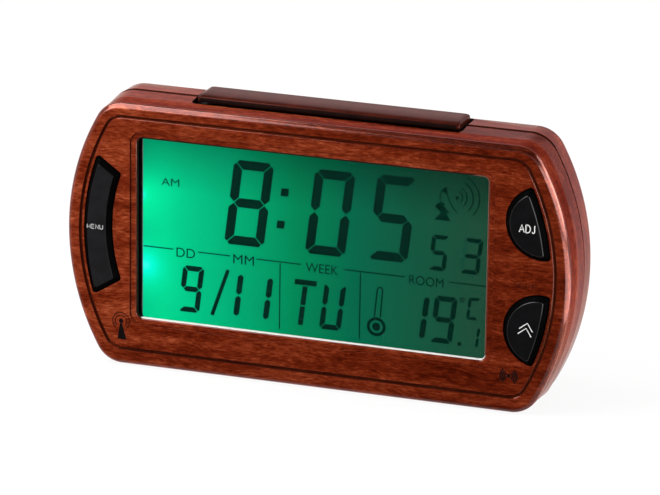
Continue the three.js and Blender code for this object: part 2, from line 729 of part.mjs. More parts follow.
function snoozeSwitchBody() {
  const topOfSwitch = hookZ - bar.hookThick - bar.travel - fitGap;
  const bodyTop = topOfSwitch - snoozeSwitch.capHigh;
  const body = box(around(0, snoozeSwitch.width), [seatY, seatY + snoozeSwitch.deep],
    [bodyTop - snoozeSwitch.high, bodyTop]);
  const cap = rodZ(0, seatY + snoozeSwitch.deep / 2, [bodyTop - snoozeSwitch.high / 2, topOfSwitch],
    snoozeSwitch.capRadius, roundSteps / 2);
  return join(body, cap);
}

// Shell screws

function shellScrew(x, z) {
  const seat = headSeatY + fitGap;
  const head = rodY(x, z, [seat, seat + caseScrew.headHigh], caseScrew.headRadius);
  const shank = rodY(x, z, [caseScrew.pilotStart + caseScrew.tipClear, seat + caseScrew.headHigh / 2],
    caseScrew.shank, caseScrew.shank, roundSteps / 2);
  return join(head, shank);
}

// Cells, contacts and door. side is 1 for the upper cell, whose button end points right

function cellPlace(side) {
  const baseX = -side * (bayWidth / 2 - contact.thick - fitGap - bay.springRoom);
  return { z: bay.z + (side * cell.spacing) / 2, baseX, endX: baseX + side * cell.length };
}

function drycell(side) {
  const { z, baseX, endX } = cellPlace(side);
  const body = rodX([baseX, endX].sort((a, b) => a - b), cellY, z, cell.radius, cell.radius, 2 * roundSteps);
  const tip = endX + side * cell.nubLength;
  const nub = rodX([endX - side * overrun, tip].sort((a, b) => a - b), cellY, z, cell.nubRadius);
  return join(body, nub);
}

// Where the contact plates stand: at the left and right ends of the bay
const plateX = bayWidth / 2 - fitGap / 2 - contact.thick / 2;
const upperZ = bay.z + cell.spacing / 2;
const lowerZ = bay.z - cell.spacing / 2;
const tabPlaces = [{ x: -plateX, z: upperZ }, { x: -plateX, z: lowerZ }];

function contactPlate(x, z, high, withTab) {
  const plate = box(around(x, contact.thick), [bayFrontY + fitGap, ledgeY - contact.highRoom + fitGap],
    around(z, high));
  if (!withTab) return plate;
  const tab = box(around(x, contact.thick), [bayFrontY - bay.wall - contact.tabOut, bayFrontY + overrun],
    around(z, contact.tab));
  return join(plate, tab);
}

function contactSpring(side) {
  const { z, baseX } = cellPlace(side);
  const reach = [-side * plateX, baseX - side * fitGap];
  return side > 0
    ? rodX(reach, cellY, z, contact.springTip, contact.springRadius)
    : rodX([reach[1], reach[0]], cellY, z, contact.springRadius, contact.springTip);
}

function contactMinus() {
  return join(contactPlate(-plateX, upperZ, contact.width, true), contactSpring(1));
}

function contactPlus() {
  return contactPlate(-plateX, lowerZ, contact.width, true);
}

function contactLink() {
  const plate = contactPlate(plateX, bay.z, cell.spacing + contact.width, false);
  return join(plate, contactSpring(-1));
}

function batteryDoor() {
  const plate = box(around(0, doorWidth), [doorY, caseDepth], around(bay.z, doorHeight));
  const topEdge = doorLowZ + doorHeight;
  const slots = [-1, 1].map((side) => box(
    around((side * (door.latchWidth + door.latchSlot)) / 2, door.latchSlot),
    [doorY - overrun, caseDepth + overrun], [topEdge - door.latchHigh, topEdge + overrun]));
  const grips = Array.from({ length: door.grips }, (_, row) =>
    box(around(0, door.latchWidth - 2 * door.grip), [caseDepth - door.grip, caseDepth + overrun],
      around(topEdge - (row + 1) * door.gripPitch, door.grip)));
  const tabBackY = doorY - 2 * fitGap;
  const tabs = [-1, 1].flatMap((side) => {
    const across = around(side * door.tabX, door.tabWidth);
    const legTop = doorLowZ + door.legHigh;
    return [
      box(across, [tabBackY - door.tabThick, doorY + fitGap], [doorLowZ + fitGap, legTop]),
      box(across, [tabBackY - door.tabThick, tabBackY], [doorLowZ - door.tabReach, legTop]),
    ];
  });
  return cut(join(plate, ...tabs), ...slots, ...grips);
}

// Receiver and buzzer

function ferriteRod() {
  return rodX(around(0, antenna.rodLength), antenna.y, antenna.z, antenna.rodRadius);
}

function antennaCoil() {
  const reach = around(0, antenna.coilLength);
  const bore = [reach[0] - overrun, reach[1] + overrun];
  return cut(rodX(reach, antenna.y, antenna.z, antenna.coilRadius),
    rodX(bore, antenna.y, antenna.z, antenna.rodRadius + fitGap));
}

function receiverBoard() {
  const backY = backInsideY - receiver.pad - fitGap;
  return box(around(receiver.x, receiver.width), [backY - receiver.thick, backY],
    around(receiver.z, receiver.high));
}

function buzzerDisc() {
  const backY = backInsideY - buzzer.ringHigh - fitGap;
  return rodY(buzzer.x, buzzer.z, [backY - buzzer.thick, backY], buzzer.radius);
}

// Wires, each from where it is soldered to the board

function batteryLead(z, boardZ) {
  const startY = bayFrontY - bay.wall - contact.tabOut - fitGap - lead.radius;
  const endY = seatY + lead.radius;
  const depths = [startY, startY, (startY + endY) / 2, endY];
  const heights = [z, (z + boardZ) / 2, boardZ, boardZ];
  return tube(leadStepShares.map((share, i) => [-plateX - share * lead.sideReach, depths[i], heights[i]]),
    lead.radius);
}

function antennaLead() {
  const startX = antenna.coilLength / 2 - lead.radius;
  const startY = antenna.y - antenna.coilRadius - fitGap - lead.radius;
  const endX = receiver.x - receiver.width / 4;
  const endY = backInsideY - receiver.pad - receiver.thick - 2 * fitGap - lead.radius;
  return tube([
    [startX, startY, antenna.z],
    [(startX + endX) / 2, startY, antenna.z],
    [endX, (startY + endY) / 2, receiver.z + receiver.high / 4],
    [endX, endY, receiver.z],
  ], lead.radius);
}

function buzzerLead() {
  const startY = backInsideY - buzzer.ringHigh - buzzer.thick - 2 * fitGap - lead.radius;
  const endY = seatY + lead.radius;
  const endX = buzzer.x + buzzer.radius / 2;
  return tube([
    [buzzer.x, startY, buzzer.z],
    [buzzer.x, (startY + endY) / 2, buzzer.z + buzzer.radius / 4],
    [endX, (startY + 2 * endY) / 3, buzzer.z],
    [endX, endY, buzzer.z - buzzer.radius / 4],
  ], lead.radius);
}

function rubberFoot(x, y) {
  return rodZ(x, y, [bottomZ - foot.proud, bottomZ + foot.sunk], foot.radius);
}

// Materials

const finish = (color, roughness, metalness = 0, more = {}) => ({ color, roughness, metalness, ...more });
const finishes = {
  wood: finish(0x7a2c12, 0.18),
  gloss: finish(0x2a0d08, 0.1),
  blackKey: finish(0x0c0d0f, 0.4),
  blackPlastic: finish(0x101010, 0.5),
  clear: finish(0xe8f4f0, 0.05, 0, { transparent: true, opacity: 0.25 }),
  glow: finish(0x18c98a, 0.3, 0, { emissive: 0x0fa86c, emissiveIntensity: 0.6 }),
  displayGlass: finish(0x8fd0b8, 0.08, 0, { transparent: true, opacity: 0.5 }),
  white: finish(0xf2f2ee, 0.5),
  rubber: finish(0x1b1b1b, 0.85),
  paleRubber: finish(0xb9bcc0, 0.7),
  board: finish(0x1d5a34, 0.45),
  epoxy: finish(0x0a0a0a, 0.3),
  steel: finish(0xb8bcc0, 0.3, 1),
  brass: finish(0xc8a24a, 0.35, 1),
  ferrite: finish(0x3a3a3e, 0.6),
  copper: finish(0xb5673a, 0.35, 0.8),
  cellLabel: finish(0x2f5f9a, 0.3),
  redWire: finish(0xa01818, 0.5),
  blackWire: finish(0x141414, 0.5),
};

const clock = new THREE.Group();

function add(name, solid, finishName) {
  const material = new THREE.MeshStandardMaterial(finishes[finishName]);
  const mesh = new THREE.Mesh(toGeometry(solid), material);
  mesh.name = name;
  clock.add(mesh);
}

add('front_case', frontCase(), 'wood');
add('rear_case', rearCase(), 'wood');
add('snooze_bar', snoozeBar(), 'gloss');
add('mode_button', keyButton(modeKey, modeStemX, modeStemZ), 'blackKey');
add('set_button', keyButton(setKey, discStemX, setStemZ), 'blackKey');
add('up_button', keyButton(upKey, discStemX, upStemZ), 'blackKey');
add('key_dome_mode', keyDome(modeStemX, modeStemZ), 'paleRubber');
add('key_dome_set', keyDome(discStemX, setStemZ), 'paleRubber');
add('key_dome_up', keyDome(discStemX, upStemZ), 'paleRubber');
add('display_lens', displayLens(), 'clear');
add('lcd_front_glass', lcdFrontGlass(), 'displayGlass');
add('lcd_rear_glass', lcdRearGlass(), 'displayGlass');
add('light_guide', lightGuide(), 'glow');
add('reflector_sheet', reflectorSheet(), 'white');
add('led_upper', backlightLed(led.upperZ), 'glow');
add('led_lower', backlightLed(led.lowerZ), 'glow');
add('lcd_frame', lcdFrame(), 'blackPlastic');
add('zebra_strip', zebraStrip(), 'rubber');
add('main_board', mainBoard(), 'board');
add('controller_blob', controllerBlob(), 'epoxy');
add('quartz_crystal', quartzCrystal(), 'steel');
add('temperature_sensor', temperatureSensor(), 'epoxy');
add('snooze_switch', snoozeSwitchBody(), 'blackPlastic');
postXs.forEach((x, column) => [1, -1].forEach((side, row) => {
  add(`board_screw_${2 * column + row + 1}`, boardScrew(x, side * postZ), 'steel');
}));
corners.forEach(([sx, sz], i) => {
  add(`case_screw_${i + 1}`, shellScrew(sx * screwX, sz * caseScrew.z), 'steel');
});
add('cell_upper', drycell(1), 'cellLabel');
add('cell_lower', drycell(-1), 'cellLabel');
add('contact_spring_minus', contactMinus(), 'steel');
add('contact_plate_plus', contactPlus(), 'steel');
add('contact_link', contactLink(), 'steel');
add('battery_door', batteryDoor(), 'wood');
add('ferrite_rod', ferriteRod(), 'ferrite');
add('antenna_coil', antennaCoil(), 'copper');
add('receiver_board', receiverBoard(), 'board');
add('buzzer', buzzerDisc(), 'brass');
add('antenna_lead', antennaLead(), 'copper');
add('buzzer_lead', buzzerLead(), 'blackWire');
add('battery_lead_minus', batteryLead(upperZ, upperZ - cell.radius / 2), 'blackWire');
add('battery_lead_plus', batteryLead(lowerZ, lowerZ + cell.radius / 2), 'redWire');
[foot.frontY, rearFootY].forEach((y, row) => [-1, 1].forEach((side, column) => {
  add(`foot_${2 * row + column + 1}`, rubberFoot(side * footX, y), 'rubber');
}));

// Origin under the middle of the whole clock, on the table
clock.position.set(0, (button.proud - caseDepth) / 2, foot.proud - bottomZ);

export default clock;
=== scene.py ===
"""Looks of a radio-controlled alarm clock with a wood-print case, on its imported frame."""

from math import atan2, cos, hypot, pi, radians, sin, tan

import bmesh
import bpy
from mathutils import Matrix, Vector


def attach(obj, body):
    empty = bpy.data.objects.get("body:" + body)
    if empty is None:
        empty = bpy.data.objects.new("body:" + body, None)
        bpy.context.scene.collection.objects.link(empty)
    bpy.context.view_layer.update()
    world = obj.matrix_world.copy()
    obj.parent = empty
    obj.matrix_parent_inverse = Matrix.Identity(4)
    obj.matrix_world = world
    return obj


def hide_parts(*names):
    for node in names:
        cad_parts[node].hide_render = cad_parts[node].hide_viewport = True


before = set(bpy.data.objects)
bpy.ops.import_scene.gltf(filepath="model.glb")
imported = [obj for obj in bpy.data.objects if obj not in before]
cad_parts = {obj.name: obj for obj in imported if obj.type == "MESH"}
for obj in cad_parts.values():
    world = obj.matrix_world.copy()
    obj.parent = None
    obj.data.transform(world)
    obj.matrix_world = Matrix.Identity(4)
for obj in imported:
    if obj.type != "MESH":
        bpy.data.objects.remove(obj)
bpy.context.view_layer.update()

# Pieces are modelled in millimetres, with the middle of the front face at the origin,
# X to the right, Y to the back and Z up, and then brought home to the frame in metres.
MM = 0.001
HOME = (0.0, -0.01825, 0.0393)

# Case
CASE_WIDTH, CASE_HIGH, CASE_DEPTH = 147.8, 76.8, 38.0
CORNER = 8.5
SIDE_RADIUS = 70.0
SIDE_X = CASE_WIDTH / 2 - SIDE_RADIUS
TOP = CASE_HIGH / 2
WALL, FACE = 2.2, 2.4
FIT, OVER = 0.3, 1.0
SAME_LEVEL = 0.0005
FRONT_DEPTH, REAR_START = 13.4, 13.7
EDGE_ROUND, EDGE_INSET = 1.85, 1.95
EDGE_FIRST, EDGE_SWEEP, EDGE_STEPS = 8, 82, 12
SEAM_PROUD, SEAM_Y = 0.4, 13.99
UNDER_DROP, UNDER_FLAT = 0.75, 0.82
FRONT_LOWER = 0.4
STRAIGHT_END, TAPER_START, TAPER_END = 20.6, 22.4, 35.6
TAPER_FIRST, TAPER_LAST, TAPER_WALL = 0.7, 8.4, 2.4
GROOVE_DEPTH = 0.6
SCREW_X, SCREW_Z = 60.2, 31.5
POST_X, POST_Z = 57.15, 26.1
FOOT_X, FOOT_FRONT, FOOT_REAR = 48, 9.9, 31.5
BUZZER = (-44, 10)
CORNERS = [(x, z) for x in (-1, 1) for z in (-1, 1)]

# Window and display
VIEW_X, VIEW_Z = -1.4, 1.9
VIEW_WIDTH, VIEW_HIGH = 103.1, 53.3
LIP_REACH = 2.2
GLASS_FRONT, GLASS_THICK = 3.3, 1.0
GLASS_WIDTH, GLASS_HIGH = 106.1, 56.3
INK = 0.03
INK_Y = GLASS_FRONT - INK
SHIFT = -0.27
DIGIT_SLANT = tan(radians(6.7))

# Keys
KEY_RADIUS, KEY_PROUD = 64.7, 1.5
KEY_RIM_DEPTH = 0.15
DISC_X, DISC_RADIUS = 65.8, 10.6
SET_Z, UP_Z = 16.9, -14.2
MARK_Y = -KEY_PROUD - 0.02

# Snooze bar
BAR_HALF, BAR_FRONT, BAR_BACK = 39.6, 7.7, 20.7
CAP_HALF, CAP_FRONT, CAP_FOOT = 38.4, 9.6, 38.0
CROWN_BASE, CROWN_TOP, CROWN_STEPS = 39.2, TOP + 1.5, 9
# Half width, front and back of the crown: where each starts, and how far it has moved at the top
CROWN = ((38.3, -1.5), (9.75, 6.5), (BAR_BACK - 0.1, -1.2))
SHELF_HALF = BAR_HALF + FIT + 1.6
SHELF_Z = (34.2, TOP - 1.1)

# Cells and their bay
CELL_RADIUS, CELL_LENGTH, CELL_Y = 7.1, 49.3, 28.1
CELL_START, NUB_LENGTH = 23.2, 1.1
UPPER_Z, LOWER_Z = -5.4, -20.6
PLATE_X, PLATE_HALF, PLATE_HIGH = 27.85, 0.2, 9
BAY_HALF, BAY_BACK = 29.4, 35.9
BAY_LOW, BAY_TOP = -29.7, 3.7
PAST_BACK = CASE_DEPTH + 1
TAB_X = 17
COIL_TURNS, COIL_STEPS = 4, 24


# Selecting and shaping

def deselect():
    bpy.ops.object.select_all(action="DESELECT")


def apply_place():
    bpy.ops.object.transform_apply(location=True, rotation=True, scale=True)


def alone(piece):
    deselect()
    piece.select_set(True)
    bpy.context.view_layer.objects.active = piece


def pick(piece, kind, test):
    """In edit mode, selects the vertices, edges or faces of the piece that pass the test."""
    if bpy.context.mode != "EDIT_MESH":
        alone(piece)
        bpy.ops.object.mode_set(mode="EDIT")
    bpy.ops.mesh.select_mode(type=kind)
    bpy.ops.mesh.select_all(action="DESELECT")
    shape = bmesh.from_edit_mesh(piece.data)
    for item in {"VERT": shape.verts, "EDGE": shape.edges, "FACE": shape.faces}[kind]:
        if test(item):
            item.select_set(True)
    bmesh.update_edit_mesh(piece.data)


def leave():
    bpy.ops.object.mode_set(mode="OBJECT")


def extrude(x, y, z):
    bpy.ops.mesh.extrude_region_move(TRANSFORM_OT_translate={"value": (x, y, z)})


def resize(x, y, z, centre=(0, 0, 0)):
    bpy.ops.transform.resize(value=(x, y, z), center_override=centre)


def newest(name):
    piece = bpy.context.object
    piece.name = name
    piece.data.name = name
    return piece


def block(name, *spans):
    """Box whose three spans are its ends along X, Y and Z."""
    deselect()
    bpy.ops.mesh.primitive_cube_add(size=1, location=[(a + b) / 2 for a, b in spans])
    piece = newest(name)
    piece.scale = [b - a for a, b in spans]
    apply_place()
    return piece


def rod(name, axis, start, end, place, radius, sides=32):
    """Round bar along an axis from start to end; place holds the other two coordinates."""
    deselect()
    middle = (start + end) / 2
    turn, at = {
        "X": ((0, pi / 2, 0), (middle, place[0], place[1])),
        "Y": ((pi / 2, 0, 0), (place[0], middle, place[1])),
        "Z": ((0, 0, 0), (place[0], place[1], middle)),
    }[axis]
    bpy.ops.mesh.primitive_cylinder_add(
        vertices=sides, radius=radius, depth=abs(end - start), location=at, rotation=turn)
    piece = newest(name)
    apply_place()
    return piece


def soften(piece, test, width, segments=3):
    """Rounds the edges of the piece that pass the test."""
    pick(piece, "EDGE", test)
    bpy.ops.mesh.bevel(offset=width, segments=segments, affect="EDGES", clamp_overlap=False)
    leave()


def sharp(edge):
    return edge.is_manifold and edge.calc_face_angle(0) > radians(30)


def upright(least):
    """Test for edges that rise by more than the least height."""
    return lambda edge: abs(edge.verts[0].co.z - edge.verts[1].co.z) > least


def combine(piece, how, tools):
    for tool in tools:
        step = piece.modifiers.new("combine", "BOOLEAN")
        step.operation = how
        step.solver = "EXACT"
        step.object = tool
        alone(piece)
        bpy.ops.object.modifier_apply(modifier=step.name)
        bpy.data.objects.remove(tool)
    return piece


def cut(piece, *tools):
    return combine(piece, "DIFFERENCE", tools)


def join(piece, *tools):
    return combine(piece, "UNION", tools)


# Outlines: sides that are large circles or straight lines, with rounded corners between them

def circle(x, z, radius, keep=1):
    return ("circle", Vector((x, z)), radius, keep)


def line(x, z, across, up):
    return ("line", Vector((x, z)), Vector((across, up)).normalized(), 1)


def drawn_in(side, inset):
    kind, place, size, keep = side
    if kind == "circle":
        return (kind, place, size - keep * inset, keep)
    return (kind, place + size * inset, size, keep)


def meet(one, two, near):
    """Where two sides cross, nearest to a point."""
    if one[0] == "line" and two[0] == "line":
        along = one[2].orthogonal()
        return one[1] + along * ((two[1] - one[1]).dot(two[2]) / along.dot(two[2]))
    if one[0] == "line":
        one, two = two, one
    centre, radius = one[1], one[2]
    if two[0] == "line":
        foot = centre + two[2] * (two[1] - centre).dot(two[2])
        along = two[2].orthogonal()
    else:
        gap = two[1] - centre
        reach = (gap.length_squared + radius ** 2 - two[2] ** 2) / (2 * gap.length)
        foot = centre + gap.normalized() * reach
        along = gap.normalized().orthogonal()
    half = (radius ** 2 - (foot - centre).length_squared) ** 0.5
    return min((foot + along * half, foot - along * half), key=lambda p: (p - near).length)


def touch(side, centre):
    if side[0] == "circle":
        return side[1] + (centre - side[1]).normalized() * side[2]
    return centre - side[2] * (centre - side[1]).dot(side[2])


def sweep(centre, start, end):
    a, b = start - centre, end - centre
    return atan2(a.x * b.y - a.y * b.x, a.dot(b))


def spin(centre, y, angle, steps):
    bpy.ops.mesh.spin(steps=steps, angle=angle, center=(centre.x, y, centre.y), axis=(0, 1, 0))


def ring(outline, y, inset, fillet, steps, corner_steps):
    """Draws one outline at depth y, drawn in by inset, its corners rounded by fillet."""
    sides, corners = outline
    edges = [drawn_in(side, inset) for side in sides]
    inner = [drawn_in(side, inset + fillet) for side in sides]
    following = [*range(1, len(sides)), 0]
    centres = [meet(inner[k], inner[n], Vector(corners[k])) for k, n in enumerate(following)]
    starts = [touch(edge, centres[k - 1]) for k, edge in enumerate(edges)]
    ends = [touch(edge, centres[k]) for k, edge in enumerate(edges)]
    bpy.ops.mesh.select_all(action="DESELECT")
    bpy.ops.mesh.primitive_plane_add(size=1, location=(starts[0].x, y, starts[0].y))
    bpy.ops.mesh.merge(type="CENTER")
    for k, n in enumerate(following):
        if edges[k][0] == "circle":
            spin(edges[k][1], y, sweep(edges[k][1], starts[k], ends[k]), steps)
        else:
            step = ends[k] - starts[k]
            extrude(step.x, 0, step.y)
        spin(centres[k], y, sweep(centres[k], ends[k], starts[n]), corner_steps)


def on_level(y):
    return lambda edge: all(abs(v.co.y - y) < SAME_LEVEL for v in edge.verts)


def loft(name, outline, rings, steps=24, corner_steps=8):
    """Closed solid through rings of one outline: (depth, inset, fillet[, squeeze of the lower half])."""
    deselect()
    bpy.ops.mesh.primitive_plane_add(size=1)
    piece = newest(name)
    bpy.ops.object.mode_set(mode="EDIT")
    bpy.ops.mesh.delete(type="VERT")
    bpy.ops.mesh.select_mode(type="VERT")
    for y, inset, fillet, *squeeze in rings:
        ring(outline, y, inset, fillet, steps, corner_steps)
        if squeeze:
            pick(piece, "VERT", lambda v: abs(v.co.y - y) < SAME_LEVEL and v.co.z < 0)
            resize(1, 1, squeeze[0], (0, y, 0))
    bpy.ops.mesh.select_all(action="SELECT")
    bpy.ops.mesh.remove_doubles(threshold=SAME_LEVEL)
    depths = [given[0] for given in rings]
    for here, there in zip(depths, depths[1:]):
        pick(piece, "EDGE", lambda e: on_level(here)(e) or on_level(there)(e))
        bpy.ops.mesh.bridge_edge_loops()
    for end in (depths[0], depths[-1]):
        pick(piece, "EDGE", on_level(end))
        bpy.ops.mesh.edge_face_add()
    bpy.ops.mesh.select_all(action="SELECT")
    bpy.ops.mesh.normals_make_consistent(inside=False)
    leave()
    return piece


def low_ring(y, inset, fillet=CORNER, drop=0.0):
    """Ring whose lower half is stretched, so that it ends no more than drop above the underside."""
    return (y, inset, fillet, (TOP - drop) / (TOP - inset))


def rectangle(x, z, width, high):
    across, up = width / 2, high / 2
    sides = [line(x + across, z, -1, 0), line(x, z + up, 0, -1),
             line(x - across, z, 1, 0), line(x, z - up, 0, 1)]
    corners = [(x + across, z + up), (x - across, z + up), (x - across, z - up), (x + across, z - up)]
    return sides, corners


def cut_disc(z):
    """Disc cut off by the arc that follows the case's side."""
    side, disc = circle(SIDE_X, 0, KEY_RADIUS), circle(DISC_X, z, DISC_RADIUS)
    return [side, disc], [meet(side, disc, Vector((60, z + way))) for way in (20, -20)]


CASE = (
    [circle(SIDE_X, 0, SIDE_RADIUS), line(0, TOP, 0, -1),
     circle(-SIDE_X, 0, SIDE_RADIUS), line(0, -TOP, 0, 1)],
    [(60, TOP), (-60, TOP), (-60, -TOP), (60, -TOP)],
)
# Large outer arc, straight bottom end, shallow inner arc, straight top end
CRESCENT = (
    [circle(-SIDE_X, 0, KEY_RADIUS), line(-57.4, -13.8, -5.2, 8.3), circle(-13.36, 1.85, 46.7, -1),
     line(-57.4, 17.5, -5.1, -7.1)],
    [(-65.7, -19), (-57.4, -13.8), (-57.4, 17.5), (-64.5, 22.6)],
)
SET_DISC, UP_DISC = cut_disc(SET_Z), cut_disc(UP_Z)
WINDOW = rectangle(VIEW_X, VIEW_Z, VIEW_WIDTH, VIEW_HIGH)


# Marks: flat shapes that are printed on a surface, and wires

def traced(name, rows, closed, **settings):
    """Turns rows of points into one mesh, by way of a curve with the settings."""
    piece = newest(name)
    drawing = piece.data
    drawing.splines.clear()
    for key, value in settings.items():
        setattr(drawing, key, value)
    for points in rows:
        spline = drawing.splines.new("POLY")
        spline.points.add(len(points) - 1)
        for point, place in zip(spline.points, points):
            point.co = (*place, 1)
        spline.use_cyclic_u = closed
    bpy.ops.object.convert(target="MESH")
    apply_place()
    return piece


def marks(name, loops, y, thick=INK):
    """Thin plates whose edges are closed lists of (x, z) points; a loop inside another is a hole."""
    deselect()
    bpy.ops.curve.primitive_nurbs_path_add(rotation=(pi / 2, 0, 0), location=(0, y, 0))
    rows = [[(x, z, 0) for x, z in points] for points in loops]
    return traced(name, rows, True, dimensions="2D", fill_mode="BOTH", extrude=thick / 2)


def wire(name, points, radius):
    deselect()
    bpy.ops.curve.primitive_nurbs_path_add()
    return traced(name, [points], False, bevel_depth=radius, bevel_resolution=2, use_fill_caps=True)


def words(name, text, x, z, width, high, y):
    """Text as thin plates, stretched to fill a box whose middle is at x, z."""
    deselect()
    bpy.ops.object.text_add(rotation=(pi / 2, 0, 0))
    piece = newest(name)
    piece.data.body = text
    piece.data.size = high
    piece.data.extrude = INK / 2
    bpy.ops.object.convert(target="MESH")
    apply_place()
    low, top = [[end(v.co[i] for v in piece.data.vertices) for i in range(3)] for end in (min, max)]
    piece.scale = (width / (top[0] - low[0]), 1, high / (top[2] - low[2]))
    piece.location = (x - piece.scale[0] * (low[0] + top[0]) / 2, y,
                      z - piece.scale[2] * (low[2] + top[2]) / 2)
    apply_place()
    return piece


def arc_points(x, z, radius, start=0, end=345, steps=23):
    """Points along an arc, or round a disc."""
    return [(x + radius * cos(radians(start + (end - start) * i / steps)),
             z + radius * sin(radians(start + (end - start) * i / steps))) for i in range(steps + 1)]


def stroke(points, width):
    """Edge of a pen stroke of one width along a row of points."""
    left, right = [], []
    for i, (x, z) in enumerate(points):
        ax, az = points[max(i - 1, 0)]
        bx, bz = points[min(i + 1, len(points) - 1)]
        size = hypot(bx - ax, bz - az)
        nx, nz = (az - bz) / size * width / 2, (bx - ax) / size * width / 2
        left.append((x + nx, z + nz))
        right.append((x - nx, z - nz))
    return left + right[::-1]


def settle(piece, body, material, nodes=(), even=True):
    """Brings a finished piece home, shades it, dresses it and lets it ride on its body."""
    alone(piece)
    piece.scale = (MM, MM, MM)
    piece.location = HOME
    apply_place()
    bpy.ops.object.shade_smooth_by_angle(angle=radians(35))
    if even:
        step = piece.modifiers.new("even", "WEIGHTED_NORMAL")
        step.keep_sharp = True
        bpy.ops.object.modifier_apply(modifier=step.name)
    piece.data.materials.clear()
    piece.data.materials.append(material)
    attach(piece, body)
    if nodes:
        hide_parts(*nodes)
    return piece


def printed(piece, material, body="case"):
    return settle(piece, body, material, even=False)


def settle_set(first, name, moves, material, node):
    """Settles a piece and its moved copies, each in place of a numbered node."""
    pieces = [first]
    for k, move in enumerate(moves, 2):
        alone(first)
        bpy.ops.object.duplicate(linked=False)
        pieces.append(newest(f"{name}_{k}"))
        pieces[-1].location = move
        apply_place()
    for k, piece in enumerate(pieces, 1):
        settle(piece, "case", material, [f"{node}_{k}"])


def dress(piece, material, test):
    """Gives a further material to the faces whose middle, in millimetres, and normal pass the test."""
    piece.data.materials.append(material)
    last = len(piece.data.materials) - 1
    for face in piece.data.polygons:
        if test((face.center - Vector(HOME)) / MM, face.normal):
            face.material_index = last


def from_side(at):
    """How far a place is inside the bulging side of the case."""
    return SIDE_RADIUS - hypot(abs(at.x) - SIDE_X, at.z)


def from_edge(at):
    return min(from_side(at), TOP - abs(at.z))


# Shader values

def fill(made, **inputs):
    """Feeds inputs of a node, by name or as i0, i1 and so on, with values or sockets."""
    for key, value in inputs.items():
        number = key[1:]
        socket = made.inputs[int(number) if key[0] == "i" and number.isdigit() else key.replace("_", " ")]
        feed(socket, value)
    return made


def feed(socket, value):
    value = getattr(value, "socket", value)
    if isinstance(value, bpy.types.NodeSocket):
        socket.id_data.links.new(value, socket)
    else:
        socket.default_value = value


def node(tree, kind, settings=None, **inputs):
    made = tree.nodes.new(kind)
    for key, value in (settings or {}).items():
        setattr(made, key, value)
    return fill(made, **inputs)


def grouped(tree, group, **inputs):
    return node(tree, "ShaderNodeGroup", {"node_tree": group}, **inputs).outputs


def operation(how, swapped=False):
    def act(one, *two):
        values = (*two, one) if swapped else (one, *two)
        made = node(one.tree, "ShaderNodeMath", {"operation": how},
                    **{f"i{k}": value for k, value in enumerate(values)})
        return Value(made.outputs[0])
    return act


class Value:
    """Number in a shader tree. Arithmetic on it adds a math node."""
    __add__ = __radd__ = operation("ADD")
    __sub__, __rsub__ = operation("SUBTRACT"), operation("SUBTRACT", True)
    __mul__ = __rmul__ = operation("MULTIPLY")
    __truediv__ = operation("DIVIDE")
    __gt__, __lt__ = operation("GREATER_THAN"), operation("LESS_THAN")
    least, most = operation("MINIMUM"), operation("MAXIMUM")
    __abs__, root = operation("ABSOLUTE"), operation("SQRT")
    sine, power_of_e = operation("SINE"), operation("EXPONENT")

    def __init__(self, socket):
        self.socket = socket
        self.tree = socket.id_data

    def clamped(self):
        self.socket.node.use_clamp = True
        return self


def ramp(tree, value, stops):
    made = node(tree, "ShaderNodeValToRGB", Fac=value)
    points = made.color_ramp.elements
    for place, colour in stops[1:-1]:
        points.new(place).color = (*colour, 1)
    points[0].position, points[0].color = stops[0][0], (*stops[0][1], 1)
    points[-1].position, points[-1].color = stops[-1][0], (*stops[-1][1], 1)
    return made.outputs["Color"]


def stretched(tree, vector, scale):
    return node(tree, "ShaderNodeMapping", Vector=vector, Scale=scale).outputs[0]


def object_place(tree, scale=(1 / MM, 1 / MM, 1 / MM)):
    """Object coordinates in millimetres, or stretched by the scale."""
    return stretched(tree, node(tree, "ShaderNodeTexCoord").outputs["Object"], scale)


def axes_of(tree, vector):
    return [Value(axis) for axis in node(tree, "ShaderNodeSeparateXYZ", Vector=vector).outputs]


def noise(tree, vector, scale, detail=3.0, rough=0.5, output="Fac"):
    made = node(tree, "ShaderNodeTexNoise", Vector=vector, Scale=scale, Detail=detail, Roughness=rough)
    return Value(made.outputs[output])


def blend(tree, factor, one, two):
    """Number that goes from one to two as the factor goes from 0 to 1."""
    made = node(tree, "ShaderNodeMix", {"data_type": "FLOAT"}, Factor=factor, A=one, B=two)
    return Value(made.outputs[0])


def mixed(tree, factor, one, two, how="MIX"):
    """Colour two laid over colour one by a factor."""
    made = node(tree, "ShaderNodeMix", {"data_type": "RGBA", "blend_type": how}, i0=factor)
    colours = [socket for socket in made.inputs if socket.type == "RGBA"]
    feed(colours[0], one)
    feed(colours[1], two)
    return [socket for socket in made.outputs if socket.type == "RGBA"][0]


NUMBER, TINT = "NodeSocketFloat", "NodeSocketColor"


def start_group(name, inputs, outputs):
    tree = bpy.data.node_groups.new(name, "ShaderNodeTree")
    for label, value in inputs.items():
        kind = "NodeSocketVector" if isinstance(value, tuple) else NUMBER
        tree.interface.new_socket(label, in_out="INPUT", socket_type=kind).default_value = value
    for label, kind in outputs.items():
        tree.interface.new_socket(label, in_out="OUTPUT", socket_type=kind)
    return tree, tree.nodes.new("NodeGroupInput").outputs, tree.nodes.new("NodeGroupOutput")


